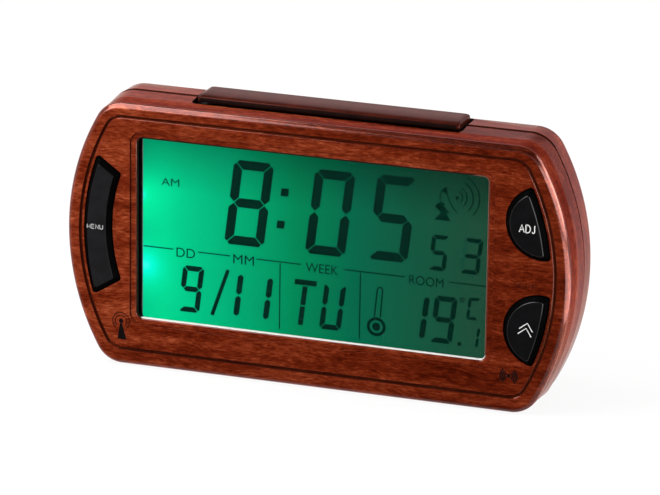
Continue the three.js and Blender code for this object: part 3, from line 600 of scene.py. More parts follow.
# Moulded surface: fine grain, slow changes of gloss and a few faint scuffs
MOULDED, given, result = start_group(
    "moulded_surface", {"Grain": 4.0, "Gloss": 0.4, "Spread": 0.12}, {"Roughness": NUMBER, "Height": NUMBER})
cloudy = noise(MOULDED, object_place(MOULDED), 0.09, 3.0)
scuffs = noise(MOULDED, object_place(MOULDED, (240, 1500, 1900)), 1.4, 4.0, 0.7)
change = (cloudy - 0.5) * given["Spread"] + (scuffs - 0.62).clamped() * 0.5
fill(result, Roughness=(change + given["Gloss"]).clamped(),
     Height=noise(MOULDED, object_place(MOULDED), given["Grain"], 2.0))

# Fibres that run along X of the vector that comes in: bands, fine lines, pores and mottling
FIBRE, given, result = start_group("wood_fibre", {"Place": (0, 0, 0)}, {"Tone": NUMBER, "Pores": NUMBER})


def on_vector(how, one, two):
    return node(FIBRE, "ShaderNodeVectorMath", {"operation": how}, i0=one, i1=two).outputs[0]


bend = noise(FIBRE, stretched(FIBRE, given["Place"], (0.028, 0.05, 0.05)), 1.0, 2.0, output="Color")
bend = on_vector("MULTIPLY", on_vector("SUBTRACT", bend, (0.5, 0.5, 0.5)), (4, 9, 9))
bent = on_vector("ADD", given["Place"], bend)


def streaks(along, across, detail, rough):
    """Noise with so many waves a millimetre along and across the grain."""
    return noise(FIBRE, stretched(FIBRE, bent, (along, across, across)), 1.0, detail, rough)


tone = streaks(0.022, 0.2, 3.0, 0.6) * 0.48 + streaks(0.4, 2.4, 4.0, 0.65) * 0.5
tone = tone + streaks(0.3, 0.9, 5.0, 0.75) * 0.4
pores = streaks(0.35, 2.2, 3.0, 0.6)
fill(result, Tone=tone - 0.19, Pores=((pores - 0.6).clamped() * 7.0).clamped())

# Printed wood: fibres along X on the front, top and back, along Z round the bulging sides
WOOD, _, result = start_group(
    "wood_print", {}, {"Color": TINT, "Roughness": NUMBER, "Height": NUMBER, "Lacquer": NUMBER})
x, y, z = axes_of(WOOD, object_place(WOOD))
flat = grouped(WOOD, FIBRE, Place=object_place(WOOD))
turned = node(WOOD, "ShaderNodeCombineXYZ", X=z, Y=y, Z=x).outputs[0]
side = grouped(WOOD, FIBRE, Place=turned)
facing = axes_of(WOOD, node(WOOD, "ShaderNodeNewGeometry").outputs["Normal"])[0]
wrap = ((abs(facing) - 0.5).clamped() * 4.0).clamped()
# Painted shade: the print on the front is darker and redder towards the right, where the light falls off
painted_falloff = ((x + 45.0) * 0.018).clamped() * (1.0 - wrap)
tone = blend(WOOD, wrap, flat["Tone"], side["Tone"]) - painted_falloff * 0.07
pores = blend(WOOD, wrap, flat["Pores"], side["Pores"])
colour = ramp(WOOD, tone, [(0.3, (0.035, 0.003, 0.0008)), (0.45, (0.1, 0.011, 0.003)),
                           (0.56, (0.18, 0.029, 0.01)), (0.72, (0.34, 0.082, 0.032))])
# The lacquer has gathered on the rounded front edge, and is thinner on the wall behind it
depth = y - HOME[1] / MM
level = abs(z - HOME[2] / MM)
out = abs(x) - SIDE_X
inside = (SIDE_RADIUS - (out * out + level * level).root()).least(TOP - level)
thick = ((3.2 - inside) * 3.0).clamped() * ((depth - 0.05) * 8.0).clamped() * (2.2 - depth).clamped()
thick = thick.most(((depth - 7.3) * 5.0).clamped() * 0.46)
gloss = noise(WOOD, object_place(WOOD), 0.12, 3.0) * 0.1 + 0.11
fill(result, Color=mixed(WOOD, pores, colour, (0.42, 0.3, 0.28, 1), "MULTIPLY"), Lacquer=thick * 0.62,
     Roughness=pores * 0.12 + gloss, Height=tone - pores * 0.5)


# Materials

def new_material(name, **values):
    material = bpy.data.materials.new(name)
    material.use_nodes = True
    tree = material.node_tree
    return material, tree, fill(tree.nodes["Principled BSDF"], **values)


def bump(tree, shader, height, strength, distance=0.00002):
    made = node(tree, "ShaderNodeBump", Height=height, Strength=strength, Distance=distance)
    fill(shader, Normal=made.outputs[0])


def grained(tree, shader, grain, gloss, spread):
    """Roughness of a moulded surface; gives back the height of its grain."""
    surface = grouped(tree, MOULDED, Grain=grain, Gloss=gloss, Spread=spread)
    fill(shader, Roughness=surface["Roughness"])
    return surface["Height"]


def moulded(name, colour, other=None, gloss=0.4, grain=5.0, spread=0.1, strength=0.2, **values):
    """Plastic, rubber or metal with a fine moulded grain and slow changes of colour and gloss."""
    material, tree, shader = new_material(name, **values)
    bump(tree, shader, grained(tree, shader, grain, gloss, spread), strength)
    other = other or tuple(min(1, c * 1.5 + 0.004) for c in colour)
    cloudy = noise(tree, object_place(tree), 0.25, 4.0, 0.6)
    fill(shader, Base_Color=ramp(tree, cloudy, [(0.35, colour), (0.7, other)]))
    return material


def wood_material(name, lacquer=None):
    material, tree, shader = new_material(
        name, IOR=1.05, Specular_Tint=(1.0, 0.34, 0.19, 1), Coat_Roughness=0.12, Coat_IOR=1.5)
    wood = grouped(tree, WOOD)
    fill(shader, Base_Color=wood["Color"], Roughness=wood["Roughness"],
         Coat_Weight=wood["Lacquer"] if lacquer is None else lacquer,
         Metallic=Value(wood["Lacquer"]) * 0.4 + 0.25)
    bump(tree, shader, wood["Height"], 0.25, 0.00003)
    return material


WOOD_PRINT = wood_material("wood_print_gloss")
WOOD_LIP = wood_material("wood_print_lip", 0.8)
# Painted shade: near-black brown on the step round the window and on the seam lip of the rear shell
SHADE_BROWN = moulded("painted_shade_brown", (0.02, 0.003, 0.001), (0.035, 0.006, 0.003), 0.5, IOR=1.1)
# Painted shade: dark brown for the floor and outer wall of the groove
GROOVE_SHADE = moulded("groove_painted_shade", (0.028, 0.004, 0.0015), (0.045, 0.008, 0.003), 0.5, IOR=1.05)
BAR_GLOSS = moulded("dark_red_gloss", (0.03, 0.005, 0.003), (0.055, 0.009, 0.005), 0.14, 2.0, 0.05, 0.04,
                    IOR=1.15, Metallic=0.15, Specular_Tint=(1, 0.4, 0.3, 1))
# Painted shade: darker copy of the bar's finish for its front face, which sits in the shade of the case's top
BAR_FRONT_SHADE = moulded("bar_front_painted_shade", (0.006, 0.0015, 0.001), (0.012, 0.003, 0.002), 0.25, 2.0, 0.05, 0.04,
                   IOR=1.13)
KEY_BLACK = moulded("key_satin_black", (0.003, 0.003, 0.0034), (0.006, 0.006, 0.007), 0.4, 7.0, 0.08, 0.3,
                    IOR=1.16)
KEY_DISC = moulded("disc_satin_black", (0.0015, 0.0015, 0.0018), (0.003, 0.003, 0.0036), 0.4, 7.0, 0.08,
                   0.3, IOR=1.11)
# Painted shade: near-black, hardly shiny copy of the key finish for the key sides in their openings
KEY_SIDE_SHADE = moulded("key_side_painted_shade", (0.001,) * 3, (0.002,) * 3, 0.3, 7.0, 0.05, IOR=1.03)
# Painted highlight: lighter, glossier copy of the disc finish along the rim of the key face
KEY_RIM_HIGHLIGHT = moulded("key_rim_painted_highlight", (0.003,) * 3, (0.005,) * 3, 0.2, 7.0, 0.05, 0.1, IOR=1.3)
# Painted shade: near-black for the openings, the recess and the inside of the front shell
DARK_HOLLOW = moulded("unlit_hollow", (0.0012, 0.0006, 0.0005), (0.003, 0.0012, 0.001), 0.6, strength=0.3,
                      IOR=1.1)
BLACK_PLASTIC = moulded("moulded_black", (0.006,) * 3, gloss=0.5, strength=0.4)
RUBBER = moulded("foot_rubber", (0.012,) * 3, gloss=0.8, grain=6.0, strength=0.6)
PALE_RUBBER = moulded("dome_rubber", (0.42, 0.44, 0.46), gloss=0.65, strength=0.4)
STEEL = moulded("plated_steel", (0.55, 0.56, 0.58), None, 0.25, 3.0, 0.25, 0.25, Metallic=1.0)
BRASS = moulded("brass_disc", (0.6, 0.42, 0.16), None, 0.3, 3.0, 0.25, Metallic=1.0)
FERRITE = moulded("ferrite_grey", (0.03, 0.03, 0.034), None, 0.6, 8.0, 0.15, 0.6)
EPOXY = moulded("black_epoxy", (0.006, 0.006, 0.007), None, 0.2, 1.2, 0.2, 0.3)
WHITE_SHEET = moulded("white_film", (0.8, 0.81, 0.8), (0.86, 0.86, 0.84), 0.45, 4.0, strength=0.15)
BLACK_WIRE = moulded("wire_black", (0.008,) * 3)
RED_WIRE = moulded("wire_red", (0.3, 0.012, 0.01))
PALE_INK = moulded("pale_print", (0.62, 0.61, 0.6), (0.74, 0.73, 0.71), 0.5, 6.0)
GREY_INK = moulded("grey_print", (0.36, 0.36, 0.35), (0.44, 0.44, 0.43), 0.5, 6.0)
FILM_EDGE = moulded("film_edge", (0.1, 0.085, 0.1), (0.14, 0.12, 0.14), 0.4, 6.0)
DARK_INK = moulded("dark_print", (0.002, 0.001, 0.001), (0.004, 0.002, 0.002), 0.45, 6.0, IOR=1.1)
FAINT_INK = moulded("faint_print", (0.012, 0.0012, 0.0005), (0.02, 0.002, 0.001), 0.4, 6.0, IOR=1.1)
MASK = moulded("display_border", (0.001,) * 3, (0.002,) * 3, IOR=1.04)
LCD_INK = moulded("display_segment", (0.0, 0.003, 0.002), (0.0, 0.005, 0.003), 0.3, 6.0, 0.05, 0.05,
                  IOR=1.04, Emission_Color=(0.001, 0.013, 0.008, 1), Emission_Strength=1.0)
LCD_GHOST = moulded("display_segment_off", (0.002, 0.01, 0.006), (0.002, 0.012, 0.007), 0.3, 6.0, 0.05,
                    0.05, IOR=1.04, Emission_Color=(0.005, 0.052, 0.029, 1), Emission_Strength=1.0)


def banded(name, one, two, per_mm, gloss, **values):
    """Material with fine bands across X, as on a winding."""
    material, tree, shader = new_material(name, **values)
    grained(tree, shader, 4.0, gloss, 0.1)
    wave = node(tree, "ShaderNodeTexWave", {"wave_type": "BANDS", "bands_direction": "X"},
                Vector=object_place(tree), Scale=per_mm, Distortion=0.3, Detail=1.0).outputs["Fac"]
    fill(shader, Base_Color=ramp(tree, wave, [(0.1, one), (0.8, two)]))
    bump(tree, shader, wave, 0.8, 0.0001)
    return material


def circuit_board():
    """Green lacquer over copper tracks, with tinned pads."""
    material, tree, shader = new_material("circuit_board_green", Specular_IOR_Level=0.6)
    grained(tree, shader, 3.0, 0.35, 0.1)
    turned = node(tree, "ShaderNodeMapping", Vector=object_place(tree), Rotation=(pi / 2, 0, 0)).outputs[0]
    tracks = node(tree, "ShaderNodeTexBrick", {"offset": 0.5}, Vector=turned,
                  Scale=0.32, Mortar_Size=0.045, Brick_Width=1.7, Row_Height=0.55).outputs["Fac"]
    copper = Value(tracks) * (noise(tree, object_place(tree), 0.15, 2.0) > 0.47)
    spots = node(tree, "ShaderNodeTexVoronoi", Vector=object_place(tree), Scale=0.3).outputs["Distance"]
    pads = Value(spots) < 0.17
    green = mixed(tree, copper, (0.006, 0.06, 0.022, 1), (0.02, 0.14, 0.05, 1))
    fill(shader, Base_Color=mixed(tree, pads, green, (0.5, 0.48, 0.42, 1)), Metallic=pads * 0.9)
    bump(tree, shader, copper, 0.5, 0.00004)
    return material


def lens_material():
    material, tree, shader = new_material("clear_lens", Transmission_Weight=1.0, IOR=1.05,
                                          Base_Color=(0.97, 1.0, 0.99, 1))
    grained(tree, shader, 0.6, 0.02, 0.03)
    return material


# Display light, in metres of the frame: its left edge, its width, and the level above which it fades
LIT_LEFT, LIT_WIDTH, LIT_FADE = -0.0526, 0.1026, HOME[2] + 0.013
LIT_TONES = [(0.0, (0.0, 0.58, 0.26)), (0.07, (0.0, 0.66, 0.28)), (0.13, (0.0, 0.58, 0.25)),
             (0.27, (0.0, 0.41, 0.175)), (0.45, (0.0, 0.235, 0.09)), (0.62, (0.001, 0.13, 0.063)),
             (0.8, (0.006, 0.088, 0.046)), (1.0, (0.013, 0.062, 0.034))]
# The two lamps behind the left edge: x, z, strength of the wide glow and size of the bright core
LAMPS = ((-0.0528, HOME[2] + 0.0111, 0.8, 0.0016), (-0.0512, HOME[2] - 0.0096, 0.68, 0.0042))
WIDE_GLOW, HOT_SPOT = 0.00007, 0.0000009


def glow_material(name, strength=1.0):
    """Lit display: bright green by the lamps at the left edge, fading to a dull green at the right."""
    material, tree, shader = new_material(
        name, Roughness=0.25, IOR=1.04, Base_Color=(0.0005, 0.001, 0.001, 1), Emission_Strength=strength)
    x, _, z = axes_of(tree, node(tree, "ShaderNodeTexCoord").outputs["Object"])
    base = ramp(tree, (x - LIT_LEFT) / LIT_WIDTH, LIT_TONES)
    for lamp_x, lamp_z, wide_share, core in LAMPS:
        far_x, far_z = x - lamp_x, z - lamp_z
        square = far_x * far_x + far_z * far_z
        for size, share, tint in ((WIDE_GLOW, wide_share, (0.0, 0.95, 0.4, 1)),
                                  (core ** 2, 0.95, (0.0, 1.0, 0.8, 1)), (HOT_SPOT, 0.3, (0.15, 1.0, 1.0, 1))):
            base = mixed(tree, (square / -size).power_of_e() * share, base, tint)
    haze = noise(tree, object_place(tree), 0.06, 2.0) * 0.16 + 0.92
    level = haze - (z - LIT_FADE).clamped() * 36.0
    shade = node(tree, "ShaderNodeCombineXYZ", X=level, Y=level, Z=level).outputs[0]
    fill(shader, Emission_Color=mixed(tree, 1.0, base, shade, "MULTIPLY"))
    return material


def lens_edge_light_material():
    """Edge of the lens with painted light: pale along the bottom where light from above falls, faint at the
    right, dark in painted shade at the left and top.
    """
    material, tree, shader = new_material("lens_edge_painted_light", IOR=1.1)
    bump(tree, shader, grained(tree, shader, 4.0, 0.4, 0.1), 0.2)
    x, _, z = axes_of(tree, object_place(tree))
    low = ((HOME[2] / MM - 22.9 - z) * 1.5).clamped() * ((x + 51.7) * 3.0).clamped()
    right = ((x - 45.0) * 0.5).clamped()
    sides = mixed(tree, right, (0.012, 0.005, 0.003, 1), (0.16, 0.07, 0.05, 1))
    fill(shader, Base_Color=mixed(tree, low, sides, (0.78, 0.75, 0.73, 1)))
    return material


def cell_material():
    """Printed sleeve with grey bands on blue."""
    material, tree, shader = new_material("cell_sleeve", Coat_Weight=0.3, Coat_Roughness=0.15)
    bump(tree, shader, grained(tree, shader, 3.0, 0.28, 0.1), 0.1)
    bands = (axes_of(tree, object_place(tree))[0] * 0.32).sine() > 0.72
    fill(shader, Base_Color=mixed(tree, bands, (0.03, 0.09, 0.28, 1), (0.6, 0.62, 0.63, 1)))
    return material


COPPER = banded("copper_winding", (0.2, 0.05, 0.02), (0.75, 0.32, 0.16), 1.0, 0.3, Metallic=0.9)
ZEBRA = banded("striped_rubber", (0.01,) * 3, (0.3,) * 3, 1.5, 0.6)
BOARD = circuit_board()
LENS = lens_material()
LCD, GUIDE = glow_material("display_lit"), glow_material("light_guide_lit", 0.6)
LENS_EDGE_LIGHT = lens_edge_light_material()
CELL = cell_material()


# Front shell

def bar_well():
    """Space for the snooze bar, with rounded upright corners."""
    well = block("bar_well", (-BAR_HALF, BAR_HALF), (BAR_FRONT - FIT, BAR_BACK + FIT), (36.4, TOP + OVER))
    soften(well, upright(1), 1.8, 5)
    return well


def neck_slot():
    return block("neck_slot", (-30.3, 30.3), (12.3, 17.1), (33, 37.4))


def foot_pocket(side, y):
    return rod("foot_pocket", "Z", -TOP - 2, -TOP + 0.7, (side * FOOT_X, y), 3.8)


def stretch(shell):
    """Brings the underside of a shell down towards the floor."""
    pick(shell, "VERT", lambda v: v.co.z < 0)
    resize(1, 1, (TOP + UNDER_DROP) / TOP)
    pick(shell, "VERT", lambda v: v.co.z < -TOP - UNDER_FLAT)
    resize(1, 1, 0, (0, 0, -TOP - UNDER_FLAT))
    leave()


def front_shell():
    rings = [(13.62, 0.45, CORNER), (13.1, -SEAM_PROUD + 0.1, CORNER), (12.9, -SEAM_PROUD, CORNER),
             (7.4, 0, CORNER)]
    for step in range(EDGE_STEPS + 1):
        tilt = radians(EDGE_FIRST + EDGE_SWEEP * step / EDGE_STEPS)
        inset = EDGE_INSET - EDGE_ROUND * cos(tilt)
        rings.append((EDGE_ROUND * (1 - sin(tilt)), inset, CORNER - inset))
    shell = loft("front_shell", CASE, rings, 48, 16)
    stretch(shell)
    pick(shell, "VERT", lambda v: v.co.z > 0)
    resize(1, 1, (TOP - FRONT_LOWER) / TOP)
    leave()
    cut(shell, loft("cavity", CASE, [(FACE, WALL, 2.8), (FRONT_DEPTH + OVER, WALL, 2.8)], 24, 6))
    join(shell, block("shelf", (-SHELF_HALF, SHELF_HALF), (5.8, FRONT_DEPTH), SHELF_Z))
    for side, level in CORNERS:
        at = (side * SCREW_X, level * SCREW_Z)
        join(shell, rod("boss", "Y", 1.2, FRONT_DEPTH, at, 3))
        cut(shell, rod("pilot", "Y", 4.5, FRONT_DEPTH + OVER, at, 1.5, 16))
        at = (VIEW_X + side * POST_X, level * POST_Z)
        join(shell, rod("post", "Y", 1.2, 10.9, at, 1.9))
        cut(shell, rod("post_bore", "Y", FACE, 11.9, at, 1.3, 16))
    groove = loft("groove", CASE, [(-OVER, 3.2, 6.2), (GROOVE_DEPTH, 4.05, 5.35)], 48, 10)
    cut(groove, loft("groove_core", CASE, [(-2 * OVER, 5.7, 3.7), (OVER, 4.2, 5.2)], 48, 10))
    cut(shell, groove)
    for outline in (CRESCENT, SET_DISC, UP_DISC):
        cut(shell, loft("key_opening", outline, [(-OVER, 0, 0.9), (FACE + OVER, 0, 0.9)], 32, 6))
    cut(shell, loft("window", WINDOW, [
        (-OVER, -2.05, 3.85), (0.5, -1.72, 3.52), (0.56, -0.5, 2.3), (0.62, -0.26, 2.06),
        (0.78, -0.08, 1.88), (1.05, 0, 1.8), (FACE + OVER, 0, 1.8)], 2, 10))
    cut(shell, loft("rebate", WINDOW, [(1.4, -1.5, 3.3), (FACE + OVER, -1.5, 3.3)], 2, 6))
    cut(shell, bar_well(), neck_slot(), foot_pocket(-1, FOOT_FRONT), foot_pocket(1, FOOT_FRONT))
    soften(shell, lambda e: on_level(0)(e) and sharp(e), 0.13, 2)
    return shell


def in_recess(at):
    return abs(at.x) < 40 and 33 < at.z < 38.2


def bare_and_shaded_front(at, normal):
    """Faces of the front shell that the print doesn't reach, given near-black painted shade: openings, seam and
    inside.
    """
    inner = from_side(at) > 1.9 and abs(at.z) < TOP - 1.9
    return (inner and (abs(normal.y) < 0.1 and at.y > 0.9 or at.y > 2.2)
            or at.y > 7 and in_recess(at) or at.y > FRONT_DEPTH - 0.2)


def in_groove(at, normal):
    """Floor and outer wall of the groove round the front, which get painted shade."""
    return (abs(at.y - GROOVE_DEPTH) < 0.02 and normal.y < -0.99
            or 0.05 < at.y < 0.58 and 3.6 < from_edge(at) < 4.12)


def by_window(at):
    return (abs(at.x - VIEW_X) < VIEW_WIDTH / 2 + LIP_REACH
            and abs(at.z - VIEW_Z) < VIEW_HIGH / 2 + LIP_REACH)


def window_step(at, normal):
    """Outer wall of the step round the window, which gets painted shade, but for its lit lower side."""
    return by_window(at) and 0.02 < at.y < 0.49 and normal.z < 0.5 and normal.y > -0.95


def window_lip(at, normal):
    """Lower wall and bevel of the window's step, and the inner wall of the groove."""
    low_wall = 0.02 < at.y < 0.49 and normal.z > 0.5
    return (by_window(at) and (low_wall or 0.57 < at.y < 1.04 and normal.y > -0.95)
            or 0.05 < at.y < 0.58 and 4.14 < from_edge(at) < 5)


front = settle(front_shell(), "case", WOOD_PRINT, ["front_case"])
# Painted shade for the openings, the groove and the step round the window; the lacquered lip for the rest
for material, test in ((DARK_HOLLOW, bare_and_shaded_front), (GROOVE_SHADE, in_groove), (SHADE_BROWN, window_step),
                       (WOOD_LIP, window_lip)):
    dress(front, material, test)


# Rear shell

def rear_cavity():
    slope = (TAPER_LAST - TAPER_FIRST) / (CASE_DEPTH - TAPER_WALL - TAPER_START)
    deeper = WALL * hypot(1, slope)
    first, last = TAPER_FIRST + deeper, TAPER_LAST + deeper - slope * (WALL - TAPER_WALL)
    return loft("cavity", CASE, [
        (12.4, WALL, 4.8), (STRAIGHT_END, WALL, 4.8), low_ring(TAPER_START, first, 4.8, WALL),
        low_ring(CASE_DEPTH - WALL, last, 4.8, WALL)], 24, 6)


def rear_boss(at):
    """Screw boss that ends at the tapered wall."""
    boss = rod("boss", "Y", REAR_START, CASE_DEPTH, at, 3.4)
    hull = loft("hull", CASE, [
        (REAR_START, 0.4, CORNER), (STRAIGHT_END, 0.4, CORNER), low_ring(TAPER_START, 1.1, drop=0.4),
        low_ring(TAPER_END, 8.8, drop=0.4), low_ring(37.6, 10.6, drop=1.4)], 24, 6)
    return combine(boss, "INTERSECT", [hull])


def rear_shell():
    shell = loft("rear_shell", CASE, [
        (REAR_START, 0.7, CORNER), (13.78, 0.5, CORNER), (14.0, -0.15, CORNER), (14.15, -0.2, CORNER),
        (16.5, -0.05, CORNER), (STRAIGHT_END, 0, CORNER), low_ring(21.5, 0.25),
        low_ring(TAPER_START, TAPER_FIRST), low_ring(TAPER_END, TAPER_LAST), low_ring(36.9, 9.3, drop=0.3),
        low_ring(37.7, 10.0, drop=0.8), low_ring(CASE_DEPTH, 10.6, drop=1.2)], 48, 12)
    stretch(shell)
    cut(shell, rear_cavity())
    ends = [(side * SCREW_X, level * SCREW_Z) for side, level in CORNERS]
    join(shell, block("shelf", (-SHELF_HALF, SHELF_HALF), (REAR_START, 22.6), SHELF_Z),
         block("bay", (-BAY_HALF, BAY_HALF), (19.5, BAY_BACK), (BAY_LOW, BAY_TOP)),
         rod("buzzer_ring", "Y", 33.4, 36.8, BUZZER, 10, 48),
         *(block("pad", (x - 1.2, x + 1.2), (33.8, 36.9), (1.5, 14.5)) for x in (38.2, 53.8)),
         *(block("saddle", (x - 1.2, x + 1.2), (23.2, 36.9), (14, 22)) for x in (-22, 22)),
         *(rear_boss(at) for at in ends))
    cut(shell, rod("buzzer_seat", "Y", 32, 35.8, BUZZER, 8.8, 48),
        rod("saddle_bore", "X", -29, 29, (23.2, 18), 4.3))
    for at in ends:
        cut(shell, rod("bore", "Y", 17.1, CASE_DEPTH + OVER, at, 2.5),
            rod("pilot", "Y", 12.4, 18.1, at, 1.5, 16))
    cut(shell, bar_well(), neck_slot())
    for k in range(7):
        out = 4 if k else 0
        at = (BUZZER[0] + out * cos(k * pi / 3), BUZZER[1] + out * sin(k * pi / 3))
        cut(shell, rod("sound_hole", "Y", 34, PAST_BACK, at, 1, 16))
    cut(shell, block("bay_room", (-28.2, 28.2), (20.7, PAST_BACK), (-28.5, 2.5)),
        block("door_pocket", (-29.7, 29.7), (BAY_BACK, PAST_BACK), (-30, 4)),
        block("finger_notch", (-6, 6), (36.8, PAST_BACK), (BAY_TOP, 7.7)))
    for side in (-1, 1):
        across = (side * TAB_X - 3.3, side * TAB_X + 3.3)
        cut(shell, block("tab_slot", across, (33.4, 36.2), (-31.5, -28.2)), foot_pocket(side, FOOT_REAR))
    for z in (UPPER_Z, LOWER_Z):
        cut(shell, block("contact_slot", (-28.35, -27.35), (18, 22), (z - 1.8, z + 1.8)))
    soften(shell, lambda e: on_level(CASE_DEPTH)(e) and sharp(e), 0.2, 2)
    return shell


def bare_rear(at, normal):
    """Faces of the rear shell that the print doesn't reach: openings, seam and inside."""
    taper = max(0, at.y - STRAIGHT_END) * 0.585
    if at.z > 22 and normal.z > 0.3 and normal.y > 0.2:
        return False
    return (from_side(at) > taper + 1.5 and abs(at.z) < TOP - 1.5 and at.y < CASE_DEPTH - 0.2
            or in_recess(at) and at.y < 22 or at.y < SEAM_Y)


rear = settle(rear_shell(), "case", WOOD_PRINT, ["rear_case"])
dress(rear, BLACK_PLASTIC, bare_rear)
# Painted shade along the seam, on the lip of the rear shell
dress(rear, SHADE_BROWN, lambda at, normal: at.y < SEAM_Y)


# Snooze bar: crowned cap with sloping ends, neck and hook

def snooze_cap():
    bar = block("snooze_cap", (-CAP_HALF, CAP_HALF), (CAP_FRONT, BAR_BACK), (CAP_FOOT, TOP))
    soften(bar, upright(0.1), 0.9, 4)
    pick(bar, "FACE", lambda f: f.normal.z > 0.9)
    extrude(0, 0, CROWN_BASE - TOP)
    half, near, far = [start for start, _ in CROWN]
    resize(half / CAP_HALF, (far - near) / (BAR_BACK - CAP_FRONT), 1,
           (0, (CAP_FRONT + BAR_BACK) / 2, CROWN_BASE))
    height = CROWN_BASE
    for k in range(1, CROWN_STEPS + 1):
        turn = pi / (2 * CROWN_STEPS) * k
        now = [start + move * (1 - cos(turn)) for start, move in CROWN]
        rise = CROWN_BASE + (CROWN_TOP - CROWN_BASE) * sin(turn) - height
        extrude(0, 0, rise)
        height += rise
        shrink = (now[2] - now[1]) / (far - near)
        fixed = (now[1] - near * shrink) / (1 - shrink)
        resize(now[0] / half, shrink, 1, (0, fixed, height))
        half, near, far = now
    leave()
    return join(bar, block("neck", (-30, 30), (12.6, 16.8), (32.9, 38.8)),
                block("hook", (-30, 30), (11.8, 17.6), (32.9, 33.9)))


snooze = settle(snooze_cap(), "snooze_bar", BAR_GLOSS, ["snooze_bar"])
# The front face of the bar gets the painted shade
dress(snooze, BAR_FRONT_SHADE, lambda at, normal: normal.y < -0.97)


# Front keys

def key_cap(name, outline, stem):
    cap = loft(name, outline, [
        (-KEY_PROUD, 1.7, 0.5), (-KEY_PROUD + 0.02, 1.62, 0.53), (-KEY_PROUD + 0.09, 1.54, 0.56),
        (-KEY_PROUD + 0.2, 1.48, 0.6), (-0.1, 0.36, 0.85), (0.1, FIT, 0.9), (3.2, FIT, 0.9)], 32, 6)
    return join(cap, loft("flange", outline, [(2.7, -0.8, 1.2), (3.7, -0.8, 1.2)], 32, 6),
                rod("stem", "Y", 3, 7.6, stem, 1.6))


def on_rim(at):
    return at.y < -KEY_PROUD + KEY_RIM_DEPTH


for key, outline, stem, skin in (
        ("mode", CRESCENT, (-64.35, 1.8), KEY_BLACK), ("set", SET_DISC, (62.5, SET_Z), KEY_DISC),
        ("up", UP_DISC, (62.5, UP_Z), KEY_DISC)):
    button = f"{key}_button"
    cap = settle(key_cap(f"{key}_key", outline, stem), button, skin, [button])
    # Sides of the keys get painted shade; the rim of the disc keys gets a painted highlight
    dress(cap, KEY_SIDE_SHADE, lambda at, normal: normal.y > -0.99 and not on_rim(at))
    if skin == KEY_DISC:
        dress(cap, KEY_RIM_HIGHLIGHT, lambda at, normal: normal.y > -0.99 and on_rim(at))

# Letters as pen strokes in a box one unit wide and high
LETTERS = {
    "A": [[(0, 0), (0.5, 1), (1, 0)], [(0.2, 0.36), (0.8, 0.36)]],
    "D": [[(0.08, 0), (0.08, 1)], [(0.08, 1), (0.5, 1), (0.78, 0.9), (0.95, 0.68), (0.98, 0.5),
                                   (0.95, 0.32), (0.78, 0.1), (0.5, 0), (0.08, 0)]],
    "J": [[(0.62, 1), (0.62, 0.2), (0.54, 0.05), (0.4, 0), (0.24, 0.04), (0.14, 0.16)]],
    "M": [[(0.04, 0), (0.04, 1), (0.5, 0.2), (0.96, 1), (0.96, 0)]],
    "E": [[(0.1, 0), (0.1, 1)], [(0.1, 1), (0.85, 1)], [(0.1, 0.52), (0.75, 0.52)], [(0.1, 0), (0.85, 0)]],
    "N": [[(0.06, 0), (0.06, 1), (0.94, 0), (0.94, 1)]],
    "U": [[(0.06, 1), (0.06, 0.3), (0.2, 0.06), (0.5, 0), (0.8, 0.06), (0.94, 0.3), (0.94, 1)]],
}
LETTER_SHARE, LETTER_GAP_SHARE = 0.82, 0.09


def thin_word(name, text, x, z, width, high, pen):
    step = width / len(text)
    shapes = []
    for k, letter in enumerate(text):
        left = x - width / 2 + k * step + step * LETTER_GAP_SHARE
        for points in LETTERS[letter]:
            row = [(left + u * step * LETTER_SHARE, z + (v - 0.5) * high) for u, v in points]
            shapes.append(stroke(row, pen))
    return marks(name, shapes, MARK_Y)


printed(thin_word("mode_key_word", "MENU", -64.7, 1.6, 5.0, 1.2, 0.2), GREY_INK, "mode_button")
printed(thin_word("set_key_word", "ADJ", 62.0, 15.55, 5.2, 2.2, 0.27), PALE_INK, "set_button")
chevrons = [stroke([(60.24 - k * 0.33, -13.34 - k * 1.49), (62.6 - k * 0.33, -11.54 - k * 1.49),
                    (64.09 - k * 0.33, -13.96 - k * 1.49)], 0.27) for k in (0, 1)]
printed(marks("up_key_chevrons", chevrons, MARK_Y), PALE_INK, "up_button")

# Marks printed on the front face
PRINT_Y = -0.01
mast = [[(-57.72, -26.7), (-57.1, -26.7), (-55.75, -31.6), (-58.45, -31.4)], arc_points(-57.4, -26.0, 0.66)]
mast += [stroke(arc_points(-57.4, -26.1, radius, -50, 230, 28), 0.22) for radius in (1.75, 2.55)]
waves = [arc_points(57.2, -28.0, 0.55)]
for radius, reach in ((1.1, 48), (1.75, 50), (2.4, 52)):
    waves += [stroke(arc_points(57.2, -28.0, radius, middle - reach, middle + reach, 10), 0.44)
              for middle in (0, 180)]
printed(marks("mast_sign", mast, PRINT_Y), DARK_INK)
printed(marks("wave_sign", waves, PRINT_Y), DARK_INK)
printed(words("temperature_sign", "°C/°F", 61.1, -1.4, 6.2, 1.5, PRINT_Y), FAINT_INK)


# Display

